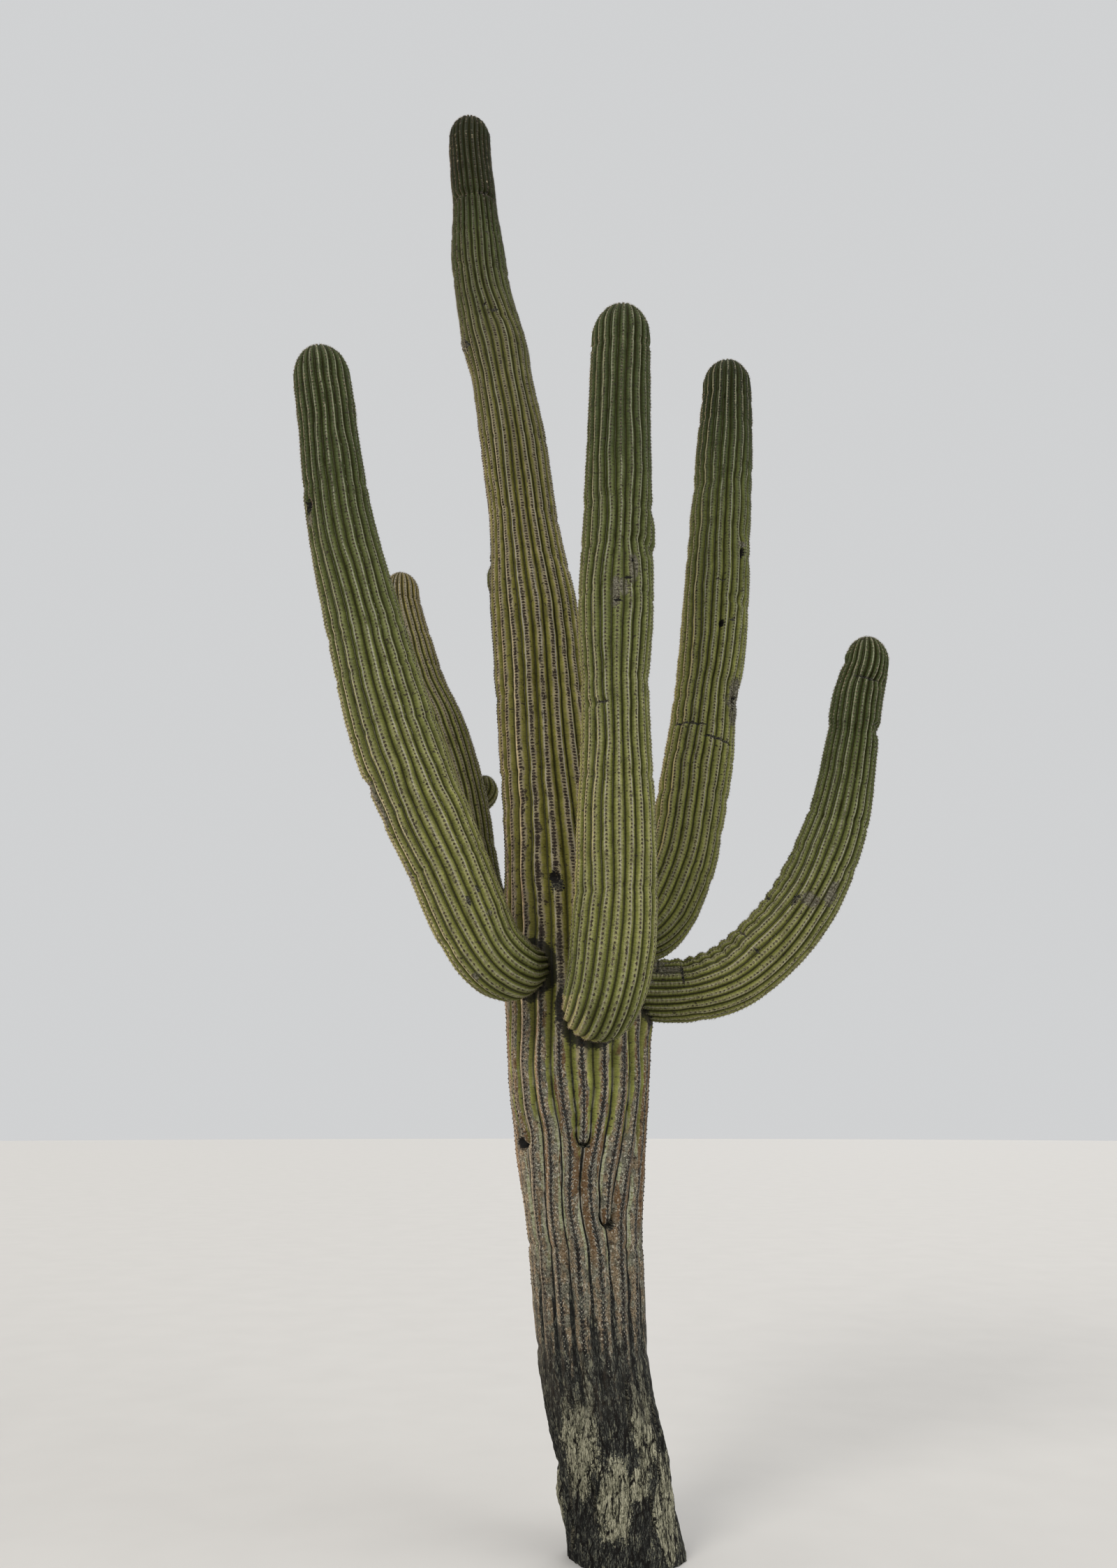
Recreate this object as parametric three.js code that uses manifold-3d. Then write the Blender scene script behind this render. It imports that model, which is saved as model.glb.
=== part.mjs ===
// A saguaro cactus with five arms and two small buds. Millimetres, +Z up.
// The origin is the middle of the flat cut at ground level; +Y points to the back of the plant.
import * as THREE from 'three';
import { mergeVertices } from 'three/addons/utils/BufferGeometryUtils.js';
import Module from 'manifold-3d';

const wasm = await Module();
wasm.setup();

// Ribs: each one is a crest between two furrows.
const TRUNK_RIBS = 20;
const ARM_RIBS = 15;
const BUD_RIBS = 8;
const TRUNK_RIB_DEPTH = 24;
const ARM_RIB_DEPTH = 19;
const BUD_RIB_DEPTH = 7;

// The most that two rings of a limb lie apart, and the rings in its domed tip.
const TRUNK_RING_STEP = 450;
const ARM_RING_STEP = 300;
const ELBOW_RING_STEP = 110;
const BUD_RING_STEP = 60;
const DOME_RINGS = 4;

// Steps between two stations with which a limb's length is measured.
const LENGTH_STEPS = 20;

// A domed tip is longer than the limb's radius by this factor.
const DOME_STRETCH = 1.25;

// Clearance between two pieces of the plant that grow from each other.
const JOINT_GAP = 0.35;

// Corners nearer than this are one corner.
const SAME_CORNER = 1e-3;

// The skins' colours, and how dull they are.
const TRUNK_GREEN = 0x8d8a5c;
const ARM_GREEN = 0x6f7a4b;
const ELBOW_GREEN = 0x838554;
const BUD_GREEN = 0x868a4c;
const SKIN_ROUGHNESS = 0.75;

// Stations: [x, y, z, diameter over the ribs] from the foot or root of a limb to its tip.
const TRUNK = [
  [0, 0, 0, 432],
  [-48, 0, 270, 428],
  [-118, 0, 650, 440],
  [-153, 0, 1150, 474],
  [-168, 0, 1450, 536],
  [-180, 0, 1980, 607],
  [-248, 0, 2720, 504],
  [-342, 0, 3550, 424],
  [-378, 0, 3900, 404],
  [-419, 0, 4260, 332],
  [-480, 0, 4740, 322],
  [-537, 0, 5080, 302],
  [-566, 0, 5230, 321],
  [-637, 0, 5570, 283],
  [-664, 0, 5780, 272],
  [-683, 0, 6040, 228],
  [-717, 0, 6400, 226],
  [-722, 0, 6605, 222],
];
const FRONT_ARM = [
  [-150, -200, 2010, 190],
  [-135, -300, 2005, 224],
  [-105, -400, 2012, 296],
  [-75, -462, 2090, 322],
  [-52, -480, 2220, 340],
  [-38, -482, 2400, 336],
  [-30, -490, 2775, 318],
  [-28, -500, 3245, 283],
  [-22, -510, 3623, 317],
  [-9, -525, 4050, 298],
  [6, -538, 4600, 272],
  [22, -545, 5070, 262],
];
const LEFT_ARM = [
  [-355, -190, 2190, 170],
  [-392, -272, 2176, 204],
  [-440, -345, 2162, 262],
  [-515, -395, 2205, 298],
  [-590, -410, 2320, 318],
  [-705, -450, 2579, 330],
  [-902, -510, 3032, 360],
  [-1053, -565, 3541, 324],
  [-1167, -610, 3990, 280],
  [-1262, -660, 4602, 246],
  [-1289, -670, 4776, 240],
];
const REAR_ARM = [
  [-390, 60, 2440, 150],
  [-475, 100, 2430, 180],
  [-560, 150, 2460, 226],
  [-625, 190, 2570, 242],
  [-667, 220, 2765, 250],
  [-729, 275, 3070, 254],
  [-829, 320, 3385, 258],
  [-929, 350, 3603, 256],
  [-988, 370, 3821, 232],
  [-1040, 390, 4047, 196],
  [-1049, 400, 4222, 180],
];
const RIGHT_ARM = [
  [-40, 60, 2340, 170],
  [52, 92, 2340, 212],
  [118, 122, 2380, 274],
  [185, 150, 2460, 306],
  [280, 175, 2675, 323],
  [343, 220, 2955, 330],
  [400, 255, 3244, 326],
  [436, 283, 3500, 304],
  [477, 300, 3724, 322],
  [551, 350, 4457, 310],
  [589, 375, 4872, 292],
  [618, 392, 5240, 258],
  [624, 400, 5432, 248],
];
const FAR_ARM = [
  [20, -38, 2112, 200],
  [112, -62, 2108, 250],
  [200, -80, 2106, 266],
  [300, -92, 2112, 273],
  [453, -100, 2162, 285],
  [587, -110, 2262, 292],
  [707, -125, 2386, 293],
  [809, -140, 2538, 289],
  [928, -170, 2818, 262],
  [999, -195, 3127, 226],
  [1036, -210, 3347, 218],
  [1084, -220, 3511, 192],
  [1095, -222, 3628, 184],
];
const REAR_ARM_BUD = [
  [-680, 342, 3020, 70],
  [-645, 390, 3030, 100],
  [-618, 424, 3085, 136],
  [-612, 432, 3180, 130],
];
const TRUNK_BUD = [
  [-495, 50, 3972, 66],
  [-534, 88, 3982, 84],
  [-554, 106, 4032, 98],
  [-558, 110, 4134, 96],
];

// The stations at which each arm is divided, at its bends, with its root and its tip.
const FRONT_ARM_DIVISIONS = [0, 4, 11];
const LEFT_ARM_DIVISIONS = [0, 5, 10];
const REAR_ARM_DIVISIONS = [0, 3, 10];
const RIGHT_ARM_DIVISIONS = [0, 4, 12];
const FAR_ARM_DIVISIONS = [0, 4, 7, 12];

// A limb's line: a smooth curve through its stations, and its radius and facing at each distance along it.
function limbLine(stations, swell) {
  const curve = new THREE.CatmullRomCurve3(stations.map(([x, y, z]) => new THREE.Vector3(x, y, z)));
  const last = stations.length - 1;
  curve.arcLengthDivisions = LENGTH_STEPS * last;
  const lengths = curve.getLengths();
  const total = lengths.at(-1);

  const placeAt = (distance) => {
    const t = curve.getUtoTmapping(THREE.MathUtils.clamp(distance / total, 0, 1));
    const index = Math.min(Math.floor(t * last), last - 1);
    const [low, high] = [stations[index][3], stations[index + 1][3]];
    const radius = THREE.MathUtils.lerp(low, high, t * last - index) / 2 + swell;
    return { centre: curve.getPoint(t), radius };
  };
  // Rings face along a chord as long as the limb is wide, so that they fan out evenly round a tight bend.
  const facingAt = (distance) => {
    const reach = placeAt(distance).radius;
    const ahead = placeAt(distance + reach).centre;
    return ahead.sub(placeAt(distance - reach).centre).normalize();
  };
  const stationDistance = (index) => lengths[index * LENGTH_STEPS];
  return { last, placeAt, facingAt, stationDistance };
}

// The rings between two stations of a limb: at each station, between them, and round the domed tip.
function ringList(line, from, to, step) {
  const rings = [];
  const end = line.stationDistance(to);
  const domeLength = to === line.last ? line.placeAt(end).radius * DOME_STRETCH : 0;
  const bodyEnd = end - domeLength;
  for (let station = from; station < to; station += 1) {
    const low = line.stationDistance(station);
    const span = Math.min(line.stationDistance(station + 1), bodyEnd) - low;
    const count = Math.ceil(span / step);
    for (let i = 0; i < count; i += 1) {
      rings.push({ distance: low + (span * i) / count, shrink: 1 });
    }
  }
  rings.push({ distance: bodyEnd, shrink: 1 });
  if (domeLength > 0) {
    for (let i = 1; i < DOME_RINGS; i += 1) {
      const angle = (i / DOME_RINGS) * (Math.PI / 2);
      rings.push({ distance: bodyEnd + domeLength * Math.sin(angle), shrink: Math.cos(angle) });
    }
    rings.push({ distance: end, shrink: 0 });
  }
  return rings;
}

// One piece of a limb between two of its stations, flat at each end that isn't the tip.
// The lathe's heights count the rings; each ring is then set on its place along the limb.
function limbPiece(stations, shape) {
  const { ribs, ribDepth, step, level = false, swell = 0 } = shape;
  const { from = 0, to = stations.length - 1 } = shape;
  const endsInTip = to === stations.length - 1;
  const line = limbLine(stations, swell);
  const rings = ringList(line, from, to, step);
  const profile = [new THREE.Vector2(0, 0)];
  const places = rings.map(({ distance, shrink }, index) => {
    const { centre, radius } = line.placeAt(distance);
    profile.push(new THREE.Vector2(radius * shrink, index));
    const facing = level ? new THREE.Vector3(0, 0, 1) : line.facingAt(distance);
    return { centre, facing, furrowScale: 1 - ribDepth / radius };
  });
  if (from > 0) {
    places[0].centre.addScaledVector(places[0].facing, JOINT_GAP / 2);
  }
  if (!endsInTip) {
    profile.push(new THREE.Vector2(0, rings.length - 1));
    places.at(-1).centre.addScaledVector(places.at(-1).facing, -JOINT_GAP / 2);
  }
  turnSides(places);

  const geometry = new THREE.LatheGeometry(profile, 2 * ribs);
  const position = geometry.getAttribute('position');
  const point = new THREE.Vector3();
  for (let i = 0; i < position.count; i += 1) {
    point.fromBufferAttribute(position, i);
    const { centre, side, front, furrowScale } = places[Math.round(point.y)];
    const halfRib = Math.round((Math.atan2(point.x, point.z) / Math.PI) * ribs);
    point.multiplyScalar(halfRib % 2 === 0 ? 1 : furrowScale);
    const placed = centre.clone().addScaledVector(side, point.x).addScaledVector(front, point.z);
    position.setXYZ(i, placed.x, placed.y, placed.z);
  }
  geometry.computeVertexNormals();
  return geometry;
}

// Each ring's two cross directions, carried along the limb from ring to ring so that its ribs don't twist.
function turnSides(places) {
  const first = places[0].facing;
  const facesSideways = Math.abs(first.x) > Math.abs(first.y);
  const side = facesSideways ? new THREE.Vector3(0, 1, 0) : new THREE.Vector3(1, 0, 0);
  for (const place of places) {
    side.addScaledVector(place.facing, -side.dot(place.facing)).normalize();
    place.side = side.clone();
    place.front = side.clone().cross(place.facing);
  }
}

// A closed solid of a geometry's shape, for cutting.
function toSolid(geometry) {
  const bare = new THREE.BufferGeometry();
  bare.setAttribute('position', geometry.getAttribute('position'));
  bare.setIndex(geometry.getIndex());
  const merged = mergeVertices(bare, SAME_CORNER);
  const vertProperties = Float32Array.from(merged.getAttribute('position').array);
  const triVerts = Uint32Array.from(merged.getIndex().array);
  return new wasm.Manifold(new wasm.Mesh({ numProp: 3, vertProperties, triVerts }));
}

function toGeometry(solid) {
  const { vertProperties, triVerts } = solid.getMesh();
  const geometry = new THREE.BufferGeometry();
  geometry.setAttribute('position', new THREE.BufferAttribute(vertProperties, 3));
  geometry.setIndex(new THREE.BufferAttribute(triVerts, 1));
  geometry.computeVertexNormals();
  return geometry;
}

function skin(color) {
  return new THREE.MeshStandardMaterial({ color, roughness: SKIN_ROUGHNESS, metalness: 0 });
}

const cactus = new THREE.Group();

function addNode(name, geometry, color) {
  const mesh = new THREE.Mesh(geometry, skin(color));
  mesh.name = name;
  cactus.add(mesh);
}

// The trunk, whole from its flat cut to its tip.
const trunkShape = { ribs: TRUNK_RIBS, ribDepth: TRUNK_RIB_DEPTH, step: TRUNK_RING_STEP, level: true };
const trunkCutter = toSolid(limbPiece(TRUNK, { ...trunkShape, swell: JOINT_GAP }));
addNode('trunk', limbPiece(TRUNK, trunkShape), TRUNK_GREEN);

// An arm: its root piece is cut by the trunk's surface, and further pieces follow after each split.
function addArm(stations, divisions, names) {
  names.forEach((name, index) => {
    const bends = index < names.length - 1;
    const geometry = limbPiece(stations, {
      ribs: ARM_RIBS,
      ribDepth: ARM_RIB_DEPTH,
      step: bends ? ELBOW_RING_STEP : ARM_RING_STEP,
      from: divisions[index],
      to: divisions[index + 1],
    });
    const piece = index === 0 ? toGeometry(toSolid(geometry).subtract(trunkCutter)) : geometry;
    addNode(name, piece, bends ? ELBOW_GREEN : ARM_GREEN);
  });
}
addArm(FRONT_ARM, FRONT_ARM_DIVISIONS, ['front_arm_elbow', 'front_arm']);
addArm(LEFT_ARM, LEFT_ARM_DIVISIONS, ['left_arm_elbow', 'left_arm']);
addArm(REAR_ARM, REAR_ARM_DIVISIONS, ['rear_arm_elbow', 'rear_arm']);
addArm(RIGHT_ARM, RIGHT_ARM_DIVISIONS, ['right_arm_elbow', 'right_arm']);
addArm(FAR_ARM, FAR_ARM_DIVISIONS, ['far_arm_root', 'far_arm_elbow', 'far_arm']);

// The buds: young arms that are still small knobs, each cut by the limb that carries it.
function addBud(name, stations, cutter) {
  const shape = { ribs: BUD_RIBS, ribDepth: BUD_RIB_DEPTH, step: BUD_RING_STEP };
  addNode(name, toGeometry(toSolid(limbPiece(stations, shape)).subtract(cutter)), BUD_GREEN);
}
const rearArmCutter = toSolid(limbPiece(REAR_ARM, {
  ribs: ARM_RIBS,
  ribDepth: ARM_RIB_DEPTH,
  step: ARM_RING_STEP,
  from: REAR_ARM_DIVISIONS[1],
  swell: JOINT_GAP,
}));
addBud('rear_arm_bud', REAR_ARM_BUD, rearArmCutter);
addBud('trunk_bud', TRUNK_BUD, trunkCutter);

export default cactus;
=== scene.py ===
"""The looks of a saguaro cactus: ribbed skins, cracked bark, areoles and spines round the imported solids."""
import math
from collections import namedtuple

import bpy
import numpy as np
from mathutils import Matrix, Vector


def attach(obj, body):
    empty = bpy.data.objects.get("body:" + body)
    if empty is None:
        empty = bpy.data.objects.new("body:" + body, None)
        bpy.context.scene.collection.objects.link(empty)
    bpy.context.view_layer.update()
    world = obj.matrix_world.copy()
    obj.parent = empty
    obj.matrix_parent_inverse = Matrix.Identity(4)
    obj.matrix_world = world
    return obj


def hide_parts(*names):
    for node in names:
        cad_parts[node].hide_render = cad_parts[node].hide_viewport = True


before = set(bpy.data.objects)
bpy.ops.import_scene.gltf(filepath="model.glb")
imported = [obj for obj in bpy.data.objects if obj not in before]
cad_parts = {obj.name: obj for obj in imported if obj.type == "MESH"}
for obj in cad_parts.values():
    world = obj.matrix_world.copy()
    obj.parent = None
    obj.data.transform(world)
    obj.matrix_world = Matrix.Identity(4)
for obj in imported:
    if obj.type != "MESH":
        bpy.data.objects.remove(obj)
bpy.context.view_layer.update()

# Camera: at eye height, looking up a little.
CAMERA_PLACE = (-0.26, -5.22, 1.60)
CAMERA_TILT = math.radians(15.25)
CAMERA_LENS = 28
CAMERA_SENSOR = 36

# Stations: x, y, z and the diameter over the ribs, in metres, from each limb's foot or root to its tip.
TRUNK = [
    (0, 0, 0, 0.432), (-0.048, 0, 0.270, 0.428), (-0.118, 0, 0.650, 0.440), (-0.153, 0, 1.150, 0.474),
    (-0.168, 0, 1.450, 0.536), (-0.180, 0, 1.980, 0.607), (-0.248, 0, 2.720, 0.504),
    (-0.342, 0, 3.550, 0.424), (-0.378, 0, 3.900, 0.404), (-0.419, 0, 4.260, 0.332),
    (-0.480, 0, 4.740, 0.322), (-0.537, 0, 5.080, 0.302), (-0.566, 0, 5.230, 0.321),
    (-0.637, 0, 5.570, 0.283), (-0.664, 0, 5.780, 0.272), (-0.683, 0, 6.040, 0.228),
    (-0.717, 0, 6.400, 0.226), (-0.722, 0, 6.605, 0.222),
]
FRONT_ARM = [
    (-0.150, -0.200, 2.010, 0.190), (-0.135, -0.300, 2.005, 0.224), (-0.105, -0.400, 2.012, 0.296),
    (-0.075, -0.462, 2.090, 0.322), (-0.052, -0.480, 2.220, 0.340), (-0.038, -0.482, 2.400, 0.336),
    (-0.030, -0.490, 2.775, 0.318), (-0.028, -0.500, 3.245, 0.283), (-0.022, -0.510, 3.623, 0.317),
    (-0.009, -0.525, 4.050, 0.298), (0.006, -0.538, 4.600, 0.272), (0.022, -0.545, 5.070, 0.262),
]
LEFT_ARM = [
    (-0.355, -0.190, 2.190, 0.170), (-0.392, -0.272, 2.176, 0.204), (-0.440, -0.345, 2.162, 0.262),
    (-0.515, -0.395, 2.205, 0.298), (-0.590, -0.410, 2.320, 0.318), (-0.705, -0.450, 2.579, 0.330),
    (-0.902, -0.510, 3.032, 0.360), (-1.053, -0.565, 3.541, 0.324), (-1.167, -0.610, 3.990, 0.280),
    (-1.262, -0.660, 4.602, 0.246), (-1.289, -0.670, 4.776, 0.240),
]
REAR_ARM = [
    (-0.390, 0.060, 2.440, 0.150), (-0.475, 0.100, 2.430, 0.180), (-0.560, 0.150, 2.460, 0.226),
    (-0.625, 0.190, 2.570, 0.242), (-0.667, 0.220, 2.765, 0.250), (-0.729, 0.275, 3.070, 0.254),
    (-0.829, 0.320, 3.385, 0.258), (-0.929, 0.350, 3.603, 0.256), (-0.988, 0.370, 3.821, 0.232),
    (-1.040, 0.390, 4.047, 0.196), (-1.049, 0.400, 4.222, 0.180),
]
RIGHT_ARM = [
    (-0.040, 0.060, 2.340, 0.170), (0.052, 0.092, 2.340, 0.212), (0.118, 0.122, 2.380, 0.274),
    (0.185, 0.150, 2.460, 0.306), (0.280, 0.175, 2.675, 0.323), (0.343, 0.220, 2.955, 0.330),
    (0.400, 0.255, 3.244, 0.326), (0.436, 0.283, 3.500, 0.304), (0.477, 0.300, 3.724, 0.322),
    (0.551, 0.350, 4.457, 0.310), (0.589, 0.375, 4.872, 0.292), (0.618, 0.392, 5.240, 0.258),
    (0.624, 0.400, 5.432, 0.248),
]
FAR_ARM = [
    (0.020, -0.038, 2.112, 0.200), (0.112, -0.062, 2.108, 0.250), (0.200, -0.080, 2.106, 0.266),
    (0.300, -0.092, 2.112, 0.273), (0.453, -0.100, 2.162, 0.285), (0.587, -0.110, 2.262, 0.292),
    (0.707, -0.125, 2.386, 0.293), (0.809, -0.140, 2.538, 0.289), (0.928, -0.170, 2.818, 0.262),
    (0.999, -0.195, 3.127, 0.226), (1.036, -0.210, 3.347, 0.218), (1.084, -0.220, 3.511, 0.192),
    (1.095, -0.222, 3.628, 0.184),
]
REAR_ARM_BUD = [
    (-0.680, 0.342, 3.020, 0.070), (-0.645, 0.390, 3.030, 0.100), (-0.618, 0.424, 3.085, 0.136),
    (-0.612, 0.432, 3.180, 0.130),
]
TRUNK_BUD = [
    (-0.495, 0.050, 3.972, 0.066), (-0.534, 0.088, 3.982, 0.084), (-0.554, 0.106, 4.032, 0.098),
    (-0.558, 0.110, 4.134, 0.096),
]

# The skin's grid: steps along a limb and columns across each rib, rows over a tip, and how finely the
# tables of ribs and of the centre line are made.
ARM_STEP = 0.012
ARM_COLUMNS = 8
BUD_STEP = 0.006
TRUNK_STEP = 0.0175
TRUNK_COLUMNS = 12
BARK_STEP = 0.0050
BELT_STEP = 0.0070
DOME_ROWS = 14
TABLE_STEP = 0.004
CURVE_STEPS = 40

# Ribs: how round a crest is, how soon a new rib is its full width, from where below its start to where above
# it the others make room, how much ribs differ in width, and how far they wander: distance, reach along.
RIB_ROUNDNESS = 2.1
RIB_OPENING = 0.045
ROOM_BELOW = 0.12
ROOM_ABOVE = 0.26
RIB_VARIETY = 0.08
RIB_WANDER = ((0.011, 0.30), (0.0028, 0.085))
END_WIDTH = 0.43
DOME_STRETCH = 1.25

# Folds on the inner side of a bend: the bends where they start and are full, their spacing and their height.
ARM_FOLD = (0.28, 0.90, 0.062, 0.012)
FAR_ARM_FOLD = (0.04, 0.20, 0.068, 0.014)

# The trunk's ribs that start on the way up, by number, and the height where each starts.
NEW_RIBS = {2: 5.25, 5: 1.35, 8: 1.90, 13: 1.50, 17: 1.50, 19: 1.20, 22: 5.30}

# How far the trunk's ribs swing round it, in turns, and between which heights.
RIB_SWING = ((0.027, 1.15, 1.50), (0.030, 2.80, 3.90))

# The trunk's two skins meet here, above the cracked bark, its fading ribs and the ribs that end.
TRUNK_SEAM = 1.64
BARK_FULL = 0.46
BARK_NONE = 0.80

# Spine cushions: the steps between them along a crest, on the arms, on the trunk and on the trunk below
# LOW_AREOLES_END, how far they lie out of step from rib to rib, and how far each is off its place.
ARM_AREOLE_STEP = 0.0160
TRUNK_AREOLE_STEP = 0.0138
LOW_AREOLE_STEP = 0.0172
LOW_AREOLES_END = 2.15
RIB_STAGGER = 0.618
AREOLE_JITTER = 0.0012

# Each cushion's size, how deep its rim sits in the skin, and how high its middle stands.
AREOLE_WIDTH = 0.0075
AREOLE_LENGTH = 0.0090
AREOLE_SINK = 0.0012
AREOLE_HEIGHT = 0.0022

# Where the arms' and the trunk's cushions start, and how large they are beside the size above.
ARM_CUSHIONS = (0.05, 0.95)
TRUNK_CUSHIONS = (0.95, 1.35)

# Pale cushions: their share at a limb's root and the distance where it ends, and their share at the tips.
PALE_CUSHIONS = (0.55, 0.9)
YOUNG_CUSHIONS = 0.7
YOUNG_ON_TRUNK = 0.06

# Spines: how many a cushion has, their size, and how far out of the skin and aside their roots are.
SPINES_EACH = 5
LONGEST_SPINE = 0.010
SPINE_WIDTH = 0.0012
SPINE_LIFT = 0.0008
SPINE_SPREAD = 0.0012

# The trunk's spines: the height where they start, their share there, and the height where all are left.
LOWEST_SPINES = 1.70
LEAST_SPINES = 0.1
TRUNK_SPINES_FULL = 4.2
SMALL_THINGS_SEED = 77

# Colours, as linear red, green and blue.
DARK_GREEN = (0.014, 0.019, 0.005)
DIM_GREEN = (0.027, 0.036, 0.009)
UPPER_GREEN = (0.047, 0.061, 0.015)
MID_GREEN = (0.108, 0.122, 0.030)
YELLOW_GREEN = (0.170, 0.176, 0.041)
LIME_GREEN = (0.235, 0.245, 0.062)
OLIVE = (0.100, 0.102, 0.027)
BROWN_OLIVE = (0.205, 0.190, 0.042)
GREY_OLIVE = (0.150, 0.135, 0.062)
# Olive tan with painted warm light, for the rear arm's tip.
WARM_LIT_OLIVE = (0.250, 0.190, 0.055)
WAX_DARK = (0.020, 0.024, 0.010)
WAX_DIM = (0.062, 0.074, 0.030)
WAX_GREEN = (0.155, 0.162, 0.066)
WAX_PALE = (0.235, 0.225, 0.100)
WAX_OLIVE = (0.124, 0.114, 0.060)
WAX_PINK = (0.268, 0.228, 0.140)
# The crest lines' tints: the line is a painted highlight.
LINE_DARK = (0.056, 0.062, 0.038)
LINE_GREEN = (0.250, 0.260, 0.168)
LINE_PALE = (0.440, 0.410, 0.335)
# Painted shade in the furrows.
FURROW_SHADE = (0.024, 0.023, 0.004)
CUSHION_STAIN = (0.026, 0.018, 0.014)
RUST = (0.130, 0.070, 0.030)
RUST_DARK = (0.080, 0.046, 0.020)
MEALY_GREEN = (0.310, 0.330, 0.195)
GRIT_GREY = (0.138, 0.130, 0.096)
GRIT_PINK = (0.180, 0.138, 0.088)
GRIT_PALE = (0.420, 0.390, 0.320)
CORK_SHADE = (0.040, 0.035, 0.024)
CORK = (0.135, 0.125, 0.088)
CORK_PALE = (0.270, 0.255, 0.200)
# Black for the painted shade inside holes, and for the bark's cracks.
HOLE_BLACK = (0.008, 0.007, 0.006)
SOOT = (0.010, 0.010, 0.009)
CHARCOAL = (0.033, 0.034, 0.030)
BARK_GREY = (0.088, 0.089, 0.072)
BARK_TAN = (0.090, 0.086, 0.060)
BARK_BEIGE = (0.185, 0.178, 0.118)
BARK_PALE = (0.375, 0.355, 0.255)
FLOOR_TONE = (0.62, 0.60, 0.57)

# The small things' colours: the darkest and the palest of each.
DARK_FELT = ((0.012, 0.009, 0.007), (0.034, 0.025, 0.018))
PALE_FELT = ((0.110, 0.085, 0.050), (0.260, 0.220, 0.150))
SPINE_TONES = (
    ("pale_spines", (0.30, 0.26, 0.18), (0.46, 0.42, 0.32)),
    ("straw_spines", (0.20, 0.15, 0.08), (0.32, 0.25, 0.15)),
    ("dark_spines", (0.06, 0.045, 0.035), (0.16, 0.12, 0.09)),
)

# Lights: name, the direction each comes from, strength, softness in degrees and colour.
LIGHTS = (
    ("key", (-0.50, -0.75, 0.60), 1.35, 25, (1.0, 0.98, 0.94)),
    ("fill", (0.80, -0.50, 0.30), 1.3, 50, (0.97, 0.98, 0.97)),
    ("back", (0.30, 0.90, 0.45), 1.0, 40, (0.97, 0.97, 1.0)),
)

# The low warm lamp behind on the left: place, aim, strength at the plant and beam in degrees.
WARM_PLACE = (-25.0, 16.5, 1.2)
WARM_AIM = (-0.2, 0.0, 4.3)
WARM_STRENGTH = 3.4
WARM_BEAM = 15.5
WARM_BLEND = 0.5
WARM_SIZE = 0.4
WARM_TONE = (1.0, 0.74, 0.48)

# The pale sky, and the floor: how far it reaches, its corners, and how far it lies under the cut.
SKY_TONE = (0.88, 0.89, 0.90)
SKY_STRENGTH = 0.72
FLOOR_REACH = 90.0
FLOOR_CORNERS = 96
FLOOR_DROP = 0.002

# Tints of cork, each at a value of the fine noise.
CORK_TONES = [(0.40, CORK_SHADE), (0.52, CORK), (0.70, CORK_PALE)]

# How far each kind of mark stands out of the skin, in metres.
MARK_HEIGHT = {"cork": 0.001, "hole": -0.014, "crease": -0.009, "neck": -0.008, "bare": 0.003,
               "knob": 0.010, "stain": 0.0}

# How far the bark's grain leans, in radians for each metre towards the ground.
GRAIN_LEAN = 1.0

# The trunk's front is sheltered by an arm: the turn of its middle, and how much lower its skin stays green.
SHELTER_TURN = math.radians(288)
SHELTER_DROP = 0.36

# Scars and other marks, by kind: distance along the limb, degrees round it, length and width in metres.
Mark = namedtuple("Mark", "kind along turn length width")


def mark_list(**kinds):
    return [Mark(kind, *row) for kind, rows in kinds.items() for row in rows]


TRUNK_MARKS = mark_list(
    crease=[(6.132, 312, 0.014, 0.200), (5.874, 296, 0.014, 0.030), (5.400, 278, 0.016, 0.060),
            (5.430, 262, 0.014, 0.030), (5.250, 206, 0.030, 0.040), (2.540, 262, 0.070, 0.050),
            (1.505, 272, 0.020, 0.036), (1.205, 295, 0.040, 0.030), (0.130, 208, 0.340, 0.018),
            (0.560, 300, 0.180, 0.012), (0.620, 330, 0.300, 0.012), (0.300, 322, 0.220, 0.010),
            (0.480, 338, 0.260, 0.010), (0.200, 305, 0.180, 0.010), (0.240, 246, 0.160, 0.010)],
    neck=[(6.125, 270, 0.050, 0.600), (6.125, 250, 0.040, 0.500), (5.370, 275, 0.050, 0.240),
          (0.320, 184, 0.050, 0.110)],
    stain=[(5.388, 270, 0.140, 0.140), (2.650, 226, 0.700, 0.300), (2.250, 240, 0.600, 0.220),
           (2.350, 262, 0.500, 0.120)],
    cork=[(5.262, 198, 0.090, 0.070)],
    knob=[(5.262, 198, 0.110, 0.090), (0.330, 345, 0.360, 0.160), (0.180, 184, 0.240, 0.120)],
    hole=[(2.568, 260, 0.050, 0.040), (1.512, 206, 0.045, 0.040)],
    bare=[(0.600, 258, 0.330, 0.050), (0.420, 241, 0.340, 0.150), (0.500, 316, 0.460, 0.110),
          (0.240, 268, 0.280, 0.110), (0.180, 325, 0.320, 0.140), (0.200, 190, 0.260, 0.050),
          (0.300, 296, 0.120, 0.070)],
)
FRONT_MARKS = mark_list(
    cork=[(1.884, 243, 0.130, 0.036), (1.908, 257, 0.080, 0.038), (1.995, 273, 0.130, 0.040)],
    hole=[(1.950, 264, 0.010, 0.030), (1.848, 248, 0.012, 0.030), (2.034, 272, 0.012, 0.014)],
    stain=[(1.900, 257, 0.200, 0.120)],
    neck=[(2.112, 290, 0.100, 0.260), (1.428, 215, 0.040, 0.240)],
    crease=[(1.428, 222, 0.012, 0.060)],
    knob=[(2.200, 350, 0.200, 0.160)],
)
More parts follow.
